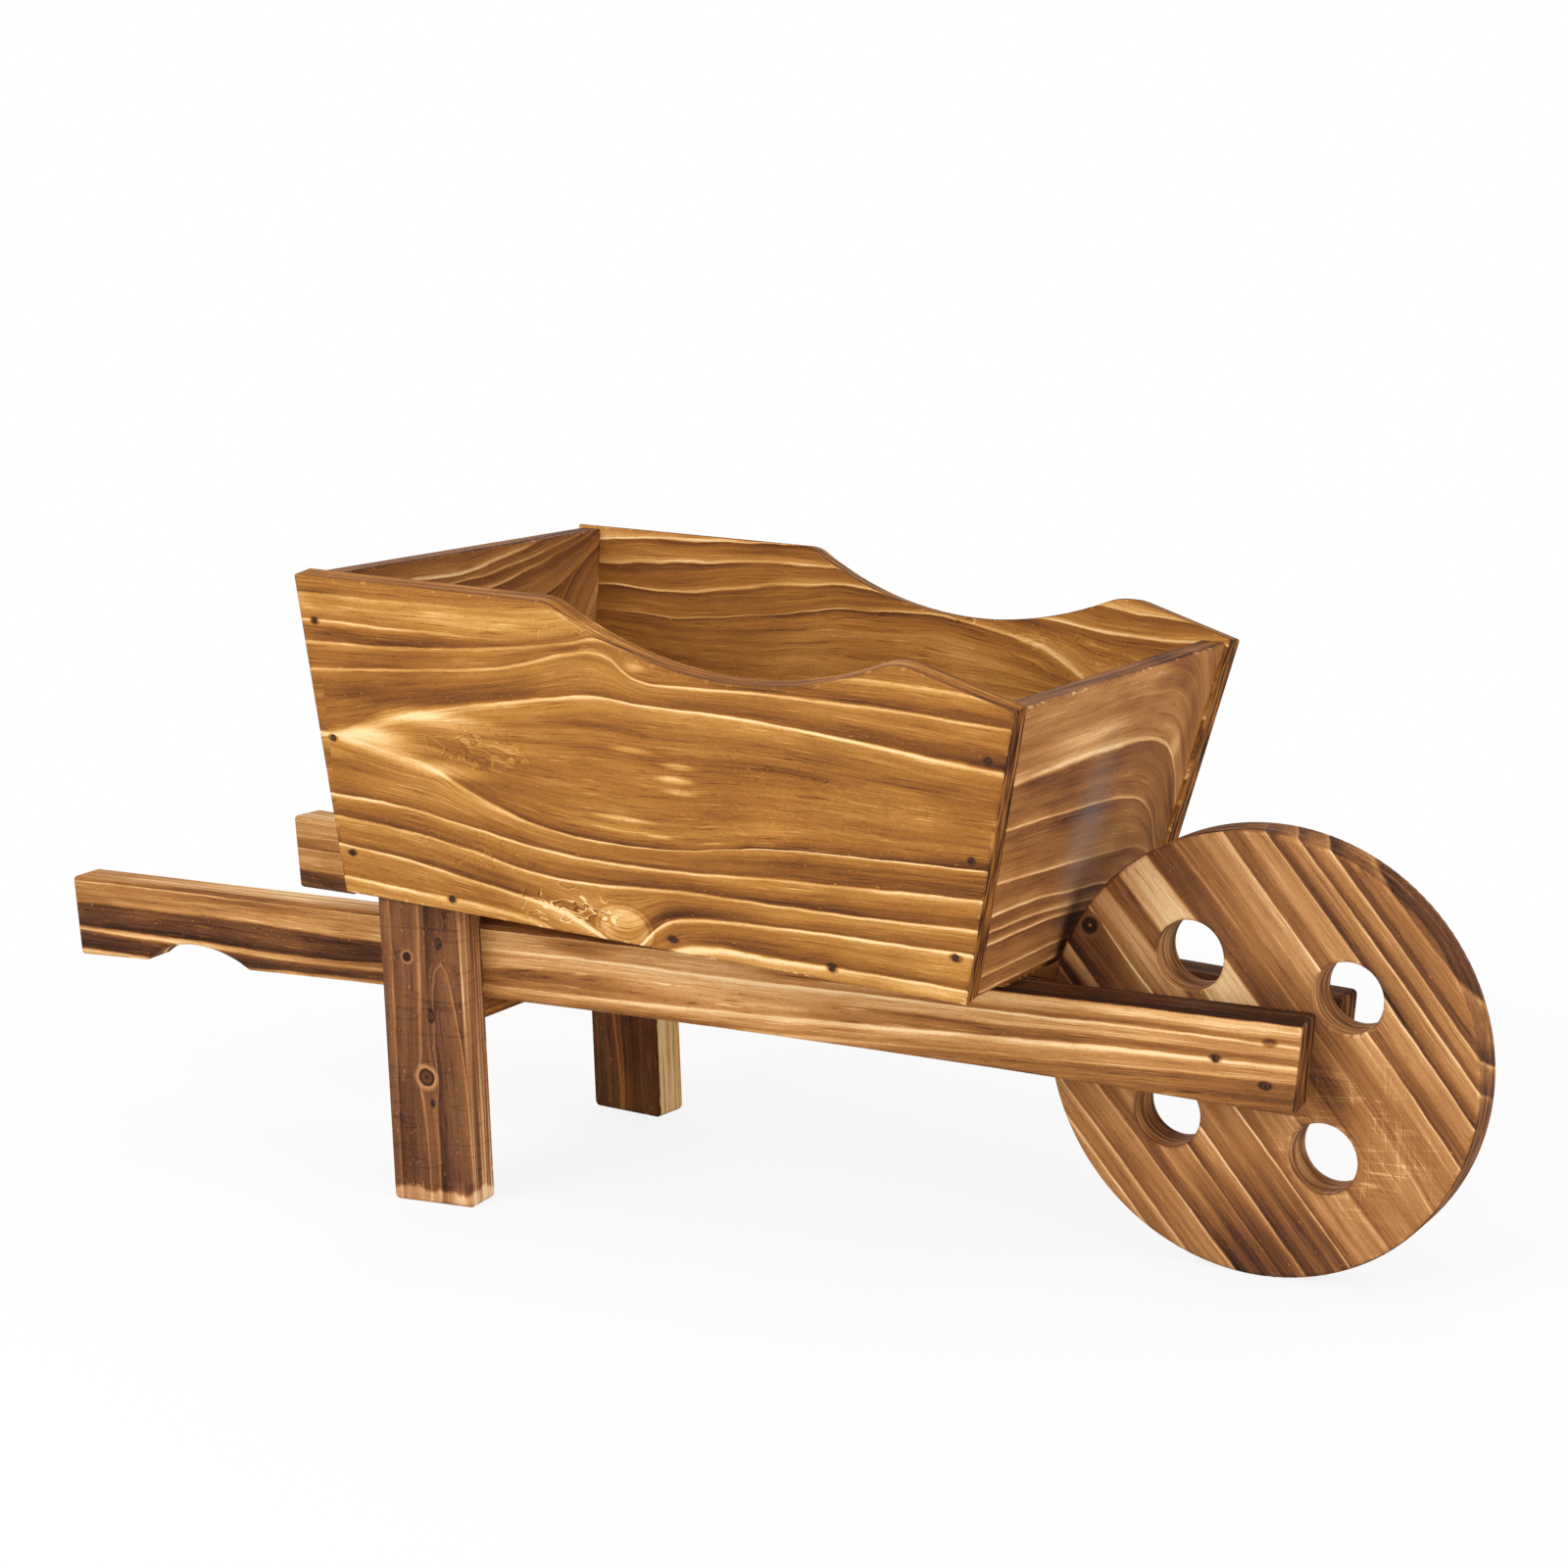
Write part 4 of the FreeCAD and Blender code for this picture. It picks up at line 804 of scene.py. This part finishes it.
RAIL_TONES = (
    ((-800, 0.68), (-620, 0.74), (-540, 0.74), (-450, 0.72), (-300, 0.62), (-150, 0.46), (0, 0.36),
     (60, 0.34)),
    ((-800, 0.25), (-560, 0.25), (-520, 0.34), (-450, 0.6), (-300, 0.64), (-150, 0.66), (60, 0.66)),
    ((-800, 0.7), (-600, 0.68), (-524, 0.6), (-450, 0.56), (-300, 0.76), (-150, 0.53), (60, 0.47)),
    ((-800, 0.25), (-575, 0.24), (-524, 0.34), (-450, 0.8), (-300, 0.86), (-150, 0.8), (60, 0.8)),
    ((-800, 0.68), (-560, 0.7), (-524, 0.82), (-450, 0.84), (-300, 0.8), (-150, 0.6), (60, 0.56)),
    ((-800, 0.64), (-600, 0.66), (-524, 0.74), (-450, 0.8), (-300, 0.8), (-150, 0.84), (60, 0.8)),
    ((-800, 0.72), (-465, 0.78), (-250, 0.5), (-150, 0.24), (60, 0.12)),
)
RAIL_RINGS = Rings(RAIL_LINES, RAIL_TONES, RAIL_REACH)
RAIL_SPOTS = (
    (-400, -34, 60, 4, 0.16), (-330, -42, 90, 4, -0.2), (-260, -8, 60, 4, -0.2), (-400, -8, 30, 5, -0.2),
    (-180, -22, 50, 4, -0.2), (-60, -26, 60, 3, 0.1), (-60, -5, 50, 3, 0.08), (-690, -35, 40, 3, 0.16),
    (-445, -27, 30, 6, -0.12), (-640, -6, 60, 4, -0.1), (-340, -24, 50, 4, 0.1),
)
RAIL_PITS = ((-11.2, -24.9, 2.6), (16.4, -36.6, 2.6), (18, -13, 2.8))
RAIL_TILT = 0.8
RAIL_STREAK = 1.25
FAR_RAIL_SHIFT = 120.0  # of the far rail's grain along the bar
FAR_RAIL_PITS = tuple((u - FAR_RAIL_SHIFT, h, radius) for u, h, radius in RAIL_PITS)


def rail_board(side, shift=0.0):
    """A rail's outer face, from its top edge over the axle."""
    tilt = turn(-side * RAIL_SPLAY, "Z") @ turn(RAIL_PITCH, "Y")
    inner = AXLE + side * RAIL_INNER_Y * LEFTWARDS + RAIL_TOP_RISE * UPWARDS
    outer = inner + side * RAIL_THICKNESS * tilt.col[1]
    return Board(outer + shift * tilt.col[0], tilt.col[0], tilt.col[2], inward=side)


dress("right_rail", wood(
    "rail_bar_right", rail_board(-1), RAIL_RINGS, seed=9, tilt=RAIL_TILT, wander=0.7, streak=RAIL_STREAK,
    spots=RAIL_SPOTS, pits=RAIL_PITS, end_tone=0.15, shade=-0.02, dust=0.4))
dress("left_rail", wood(
    "rail_bar_left", rail_board(1, FAR_RAIL_SHIFT), RAIL_RINGS, seed=37, tilt=RAIL_TILT, wander=4,
    streak=RAIL_STREAK, pits=FAR_RAIL_PITS, end_tone=0.2, dust=0.4))

# Legs, whose grain stands upright
LEG_REACH = (-10.0, 200.0)
LEG_ARCH = ((-10, 0.24), (140, 0.24), (150, 0.2), (153, 0), (200, 0))
LEG_LINES = (
    (((-10, -21.5), (60, -21), (130, -20), (200, -20)), 0.18, 0.1),
    (((-10, -1), (40, -1), (65, -2.5), (95, -2.5), (130, -1), (200, 1)),
     ((-10, 0.12), (40, 0.2), (70, 0.28), (200, 0.26)), 0.1, ((-10, 1), (60, 1), (90, 1.4), (200, 1.2))),
    (((-10, 5), (60, 5), (100, 3.5), (200, 4)), 0.06, 0.4),
    (((-10, 7), (60, 7), (110, 7.5), (140, 9), (147, 11), (151, 15), (200, 15)), LEG_ARCH, 0.04),
    (((-10, 34), (60, 31), (90, 28), (120, 23.5), (140, 20), (148, 17.5), (151.5, 15.2), (200, 15.2)),
     LEG_ARCH, 0.04),
    (((-10, 36), (100, 34), (150, 30.5), (200, 28)), 0.24, 0.1),
)
LEG_TONES = (0.27, 0.27, 0.28, 0.25, 0.26, 0.27, 0.3)
LEG_RINGS = Rings(LEG_LINES, LEG_TONES, LEG_REACH)
LEG_SPOTS = ((6, 20, 14, 9, 0.24), (178, -20, 20, 12, 0.05))
LEG_KNOTS = ((80, 0.5, 5.2, 0.55, 0.66, 0.2, 0), (154, -9, 3.0, 0.3, 0.55, 0.02, 0))
LEG_PITS = ((163.9, 14, 2.4), (118.6, 6, 2.6), (64, 4, 1.8))
LEG_FOOT = (9.5, 0.44)
LEG_TILT = 1.6


def leg_board(side):
    """A leg's outer face, from the middle of its foot."""
    tilt = turn(-side * RAIL_SPLAY, "Z")
    inner = Vector((LEG_X, side * LEG_INNER_Y, 0))
    outer = inner + side * LEG_THICKNESS * tilt.col[1]
    return Board(outer, tilt.col[2], tilt.col[0], inward=-side)


near_leg = leg_board(-1)
# The near leg's wheel-side face is made 0.28 lighter as painted light.
dress("right_leg", wood(
    "leg_post_right", near_leg, LEG_RINGS, seed=13, tilt=LEG_TILT, wander=0.8, streak=0.7, saw=0.08,
    spots=LEG_SPOTS, faces=((near_leg.across, 0.28),), foot=LEG_FOOT, knots=LEG_KNOTS, pits=LEG_PITS,
    edge_grain=0.26, dust=0.85))
far_leg = leg_board(1)
# The far leg's wheel-side face is made 0.64 lighter as painted light, and its front face 0.04 darker.
dress("left_leg", wood(
    "leg_post_left", far_leg, LEG_RINGS, seed=41, tilt=LEG_TILT, wander=5, streak=0.8,
    faces=((far_leg.across, 0.64), (-LEFTWARDS, -0.04)), pits=LEG_PITS[:2], edge_grain=0.2))

# Wheel
WHEEL_REACH = (-130.0, 130.0)
WHEEL_LINES = (
    (-118, 0.26, 0.3),
    (-107, 0.3, 0.3),
    (((-130, -91), (0, -90), (130, -88)), 0.32, 0.35, 0.65),
    (-83, 0, 0, 1, 3),
    (((-130, -65), (0, -66), (130, -68.5)), 0.36, 0.35, 0.65),
    (-60, 0, 0, 1, 2),
    (((-130, -52), (0, -53), (130, -56)), 0.34, 0.4, 0.65),
    (((-130, -28), (0, -28.5), (130, -30)), 0.38, 0.5, 0.65),
    (((-130, -12), (-20, -11), (130, -14)), 0, 0, 1, 1.5),
    (((-130, 0), (-40, -1), (60, -4), (130, -5)), 0.08, 0.3),
    (((-130, 20), (-20, 20.5), (40, 17), (130, 13)), 0.06, 0.1),
    (((-130, 38), (-20, 38), (60, 35), (130, 28)), 0.2, 0.1),
    (51, 0, 0, 1, 5),
    (((-130, 66), (-20, 62.5), (30, 62), (130, 56)), 0.38, 0.35, 0.65),
    (((-130, 74), (-20, 70.5), (30, 70), (130, 64)), 0, 0, 1, 2.5),
    (((-130, 85), (-20, 83), (90, 78), (130, 76)), 0.38, 0.35, 0.65),
    (((-130, 91), (-20, 89), (90, 84), (130, 82)), 0, 0, 1, 2),
    (((-130, 98), (0, 95.5), (60, 93), (130, 90)), 0.38, 0.35, 0.65),
    (((-130, 102), (0, 99.5), (60, 97), (130, 94)), 0, 0, 1, 2),
    (((-130, 109), (0, 106.5), (60, 104), (130, 101)), 0.36, 0.35, 0.65),
    (((-130, 114), (0, 111.5), (60, 109), (130, 106)), 0, 0, 1, 2),
    (121, 0.3, 0.3),
)
WHEEL_TONES = (
    0.6, 0.6, 0.56,
    ((-130, 0.46), (20, 0.44), (70, 0.32), (130, 0.2)),
    ((-130, 0.62), (20, 0.57), (70, 0.4), (130, 0.24)),
    ((-130, 0.5), (40, 0.46), (90, 0.36), (130, 0.26)),
    ((-130, 0.66), (40, 0.61), (90, 0.46), (130, 0.3)),
    ((-130, 0.22), (-95, 0.27), (-65, 0.48), (20, 0.56), (60, 0.42), (130, 0.25)),
    ((-130, 0.66), (-60, 0.72), (20, 0.63), (130, 0.6)),
    ((-130, 0.36), (-45, 0.4), (-15, 0.52), (20, 0.6), (130, 0.6)),
    ((-130, 0.85), (-40, 0.86), (0, 0.72), (30, 0.57), (130, 0.6)),
    ((-130, 0.33), (-20, 0.35), (30, 0.46), (80, 0.57), (130, 0.62)),
    ((-130, 0.5), (40, 0.5), (130, 0.58)),
    0.63, 0.43, 0.6, 0.41, 0.58, 0.41, 0.56, 0.38, 0.5, 0.4,
)
WHEEL_RINGS = Rings(WHEEL_LINES, WHEEL_TONES, WHEEL_REACH)
WHEEL_SPOTS = (
    (95, -60, 50, 46, -0.07), (-95, -68, 24, 14, -0.3), (110, -6, 26, 4, 0.1), (70, 48, 50, 12, 0.02),
    (80, -76, 30, 10, -0.1), (37, 21, 30, 15, -0.16), (-60, 50, 50, 8, 0.05), (84, 22, 34, 16, 0.02),
    (-66, 0, 66, 66, 0.07),
)
WHEEL_KNOTS = ((-112, -34, 4.8, 0.3, 0.34, 0.0, 0.5),)

# Holes, rim and scratches of the wheel
HOLE_BORDER = (HOLE_RADIUS + 0.4, HOLE_RADIUS + 1.2)
OFF_FACE = (0.3, 0.8)
HOLE_SAW = (0.3, 0.7, 0.26, 0.8)
RIM_BURN = -0.1
SCRATCHED = (64, 20, 64, 56)  # oval patch of scratches
SCRATCH_BREAKS = (0.42, 0.52)
SCRATCH_SLANTS = (-0.95, -0.72, 1.3)
SCRATCH_TONE = 0.14


def wheel_wear(w):
    """Bare hole walls with saw marks, and a patch of scratches across the grain."""
    spin = math.radians(WHEEL_GRAIN + HOLE_ANGLE)
    first = w.vector("DOT_PRODUCT", w.place, (math.cos(spin), math.sin(spin), 0))
    second = w.vector("DOT_PRODUCT", w.place, (-math.sin(spin), math.cos(spin), 0))
    first = w.math("ABSOLUTE", first)
    second = w.math("ABSOLUTE", second)
    far = w.math("SUBTRACT", w.math("MAXIMUM", first, second), HOLE_CIRCLE)
    apart = w.vector("LENGTH", w.combine(far, w.math("MINIMUM", first, second), 0.0))
    near_hole = w.span(apart, *HOLE_BORDER, 1, 0)
    off_face = w.span(w.math("ABSOLUTE", w.facing(LEFTWARDS)), *OFF_FACE, 1, 0)
    wall = w.math("MULTIPLY", near_hole, off_face)
    saw = w.cloudy("hole_saw", w.combine(w.normal_depth, w.u, w.h))
    w.tone = w.blend(wall, w.tone, w.span(saw, *HOLE_SAW))
    rim = w.math("SUBTRACT", off_face, wall)
    w.tone = w.math("MULTIPLY_ADD", rim, RIM_BURN, w.tone)
    region = w.span(w.oval(*SCRATCHED), *SCRATCH_BORDER, 1, 0)
    broken = w.span(w.cloudy("break", w.place), *SCRATCH_BREAKS)
    share = w.math("MULTIPLY", region, broken)
    for index, slant in enumerate(SCRATCH_SLANTS):
        across = w.math("MULTIPLY_ADD", w.h, slant, w.u)
        along = w.math("MULTIPLY_ADD", w.u, -slant, w.h)
        scratch = w.cloudy("scratch", w.combine(across, along, 0.0), further=2 * index)
        fine = w.contour(scratch, MIDDLE, SCRATCH_LINE, SCRATCH_TONE)
        w.lighten(w.math("MULTIPLY", fine, share))


def wheel_board():
    """The wheel's right face, from the axle."""
    tilt = turn(WHEEL_GRAIN, "Y")
    return Board(AXLE - WHEEL_THICKNESS / 2 * LEFTWARDS, tilt.col[0], tilt.col[2])


dress("wheel", wood(
    "wheel_disc", wheel_board(), WHEEL_RINGS, seed=17, tilt=0.25, wander=0.8, spots=WHEEL_SPOTS,
    knots=WHEEL_KNOTS, wear=wheel_wear, dust=0.6))

# Plain boards, whose rings are worked out: floor, crossbar, bearers and dowel
PLAIN_REACH = (-300.0, 500.0)
PLAIN_COUNT = 12
PLAIN_SWAY = 3.0  # of a ring border from its even place
PLAIN_PHASE = 2.4  # from one border's sway to the next
PLAIN_TONE_SWAY = 0.05
PLAIN_TONE_PHASE = 1.7
PLAIN_WANDER = 5
FLOOR_TONE = 0.5
FLOOR_SEED = 51
BATTEN_SEED = 61
BATTENS = (("leg_crossbar", 0.26), ("rear_bearer", 0.3), ("front_bearer", 0.4))


def plain(name, board, seed, tone, tilt, light=0.25, step=11.0):
    """A board whose rings are about evenly spaced."""
    lines = []
    for index in range(PLAIN_COUNT):
        even = (index - (PLAIN_COUNT - 1) / 2) * step
        lines.append((even + PLAIN_SWAY * math.sin(PLAIN_PHASE * index), light, light))
    tones = []
    for index in range(PLAIN_COUNT + 1):
        tones.append(tone + PLAIN_TONE_SWAY * math.sin(PLAIN_TONE_PHASE * index + seed))
    return wood(name, board, Rings(lines, tones, PLAIN_REACH), seed, tilt=tilt, wander=PLAIN_WANDER)


pitch = turn(BOX_PITCH, "Y")
floor_top = BOX_ORIGIN + FLOOR_THICKNESS * pitch.col[2]
for index, part in enumerate(("right", "middle", "left")):
    shift = FLOOR_BOARD_STEP * (index - 1) * LEFTWARDS
    board = Board(floor_top + shift, pitch.col[0], pitch.col[1])
    node = f"floor_board_{part}"
    dress(node, plain(node, board, FLOOR_SEED + index, FLOOR_TONE, tilt=1.4))
for index, (part, tone) in enumerate(BATTENS):
    low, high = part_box(part)
    middle = (low + high) / 2 / MM
    board = Board(Vector((middle.x, 0, high.z / MM)), LEFTWARDS, BACKWARDS)
    dress(part, plain(f"batten_{part}", board, BATTEN_SEED + index, tone, tilt=1.2, light=0.2))
dowel_board = Board(AXLE, LEFTWARDS, BACKWARDS)
dress("axle_dowel", plain("dowel", dowel_board, seed=71, tone=0.55, tilt=0.6, light=0.15, step=7.0))

# Nails and screws
RUST_CLOUD = (0.002, 0.002, 0.002)  # metres
RUST_BORDER = (0.4, 0.65)
STEEL_ROUGHNESS = (0.3, 0.7, 0.55, 0.85)


def steel(name, colour, rust, seed):
    """Dull fastener steel with rust clouds."""
    g = Graph(bpy.data.materials.new(name))
    place = g.add("ShaderNodeTexCoord").outputs["Object"]
    cloud = g.noise(place, RUST_CLOUD, seed, detail=4)
    tint = g.tint(g.span(cloud, *RUST_BORDER), colour, rust)
    bump = g.add("ShaderNodeBump", {"Strength": 0.4, "Distance": 0.0003, "Height": cloud})
    shader = g.add("ShaderNodeBsdfPrincipled", {
        "Base Color": tint, "Metallic": 0.15, "Specular IOR Level": 0.15,
        "Roughness": g.span(cloud, *STEEL_ROUGHNESS), "Normal": bump.outputs[0]})
    return g.end(shader)


nail = steel("nail", srgb(76, 48, 30), srgb(46, 29, 18), seed=81)
screw = steel("screw", srgb(150, 145, 138), srgb(96, 74, 56), seed=83)
for node in NODES:
    if node.endswith("_nails"):
        dress(node, nail)
dress("box_screws", screw)

# Floor and world: white to the camera, with the shadow kept round the object
FLOOR_HALF = 8.0
FLOOR_COLOUR = (0.86, 0.86, 0.86, 1)
SHADOW_NEAR = 0.45  # metres from the origin, where the floor starts to turn white
SHADOW_FAR = 0.9  # metres from the origin, where the floor is all white
SHADOW_GLOW = 0.86  # share of white near the object
AMBIENT_LIGHT = 0.42


def shows_background(g):
    """1 for the rays that show floor and world as the background: seen, mirrored or through glass."""
    path = g.add("ShaderNodeLightPath").outputs
    seen = g.math("MAXIMUM", path["Is Camera Ray"], path["Is Glossy Ray"])
    return g.math("MAXIMUM", seen, path["Is Transmission Ray"])


def floor_material():
    """White paint that takes the shadow near the object and glows white further out."""
    g = Graph(bpy.data.materials.new("studio_floor"))
    away = g.vector("LENGTH", g.add("ShaderNodeTexCoord").outputs["Object"])
    white_share = g.span(away, SHADOW_NEAR, SHADOW_FAR, SHADOW_GLOW, 1.0)
    share = g.math("MULTIPLY", shows_background(g), white_share)
    paint = g.add("ShaderNodeBsdfDiffuse", {"Color": FLOOR_COLOUR}).outputs[0]
    glow = g.add("ShaderNodeEmission", {"Color": WHITE, "Strength": 1.0}).outputs[0]
    return g.end(g.add("ShaderNodeMixShader", {0: share, 1: paint, 2: glow}))


def studio_world():
    """Even light from all sides, and a white backdrop."""
    g = Graph(bpy.data.worlds.new("studio"))
    ambient = g.add("ShaderNodeBackground", {"Color": WHITE, "Strength": AMBIENT_LIGHT}).outputs[0]
    backdrop = g.add("ShaderNodeBackground", {"Color": WHITE, "Strength": 1.0}).outputs[0]
    mixed = g.add("ShaderNodeMixShader", {0: shows_background(g), 1: ambient, 2: backdrop})
    return g.end(mixed, "ShaderNodeOutputWorld")


mesh = bpy.data.meshes.new("studio_floor")
corners = [(x * FLOOR_HALF, y * FLOOR_HALF, 0) for x, y in ((-1, -1), (1, -1), (1, 1), (-1, 1))]
mesh.from_pydata(corners, [], [(0, 1, 2, 3)])
mesh.materials.append(floor_material())
floor = bpy.data.objects.new("studio_floor", mesh)
bpy.context.scene.collection.objects.link(floor)

bpy.context.scene.world = studio_world()

# Softboxes: name, place and target in metres, side in metres, power in watts
LAMPS = (
    ("key_light", (-0.75, -2.1, 1.2), (0.0, 0.0, 0.2), 1.4, 31.5),
    ("fill_light", (2.4, -0.9, 0.8), (0.2, 0.0, 0.2), 1.6, 36.0),
    ("top_light", (0.0, -0.3, 2.6), (0.0, 0.0, 0.1), 2.0, 24.0),
    ("back_light", (-1.4, 2.2, 1.3), (0.0, 0.0, 0.2), 1.8, 16.0),
)
for name, position, target, size, power in LAMPS:
    light = bpy.data.lights.new(name, "AREA")
    light.shape = "SQUARE"
    light.size = size
    light.energy = power
    lamp = bpy.data.objects.new(name, light)
    lamp.location = position
    lamp.rotation_euler = (Vector(target) - Vector(position)).to_track_quat("-Z", "Y").to_euler()
    bpy.context.scene.collection.objects.link(lamp)

# Camera at the photograph's view, in metres, millimetres of lens and degrees
CAMERA_PLACE = (0.90917, -1.42748, 0.56065)
CAMERA_LENS = 66.14
CAMERA_SENSOR = 36.0
CAMERA_YAW = 31.878
CAMERA_PITCH = 10.392
CAMERA_ROLL = -1.873


def camera_turn():
    """Turn of the camera, from its yaw, its pitch downwards and its roll."""
    yaw = math.radians(CAMERA_YAW)
    fall = math.radians(CAMERA_PITCH)
    roll = math.radians(CAMERA_ROLL)
    forward = Vector((-math.sin(yaw) * math.cos(fall), math.cos(yaw) * math.cos(fall), -math.sin(fall)))
    right = Vector((math.cos(yaw), math.sin(yaw), 0))
    up = right.cross(forward)
    rolled_right = math.cos(roll) * right + math.sin(roll) * up
    rolled_up = math.cos(roll) * up - math.sin(roll) * right
    return Matrix((rolled_right, rolled_up, -forward)).transposed().to_4x4()


camera_data = bpy.data.cameras.new("camera")
camera_data.lens = CAMERA_LENS
camera_data.sensor_width = CAMERA_SENSOR
camera = bpy.data.objects.new("camera", camera_data)
camera.matrix_world = Matrix.Translation(CAMERA_PLACE) @ camera_turn()
bpy.context.scene.collection.objects.link(camera)
bpy.context.scene.camera = camera
bpy.context.scene.view_settings.view_transform = "Standard"
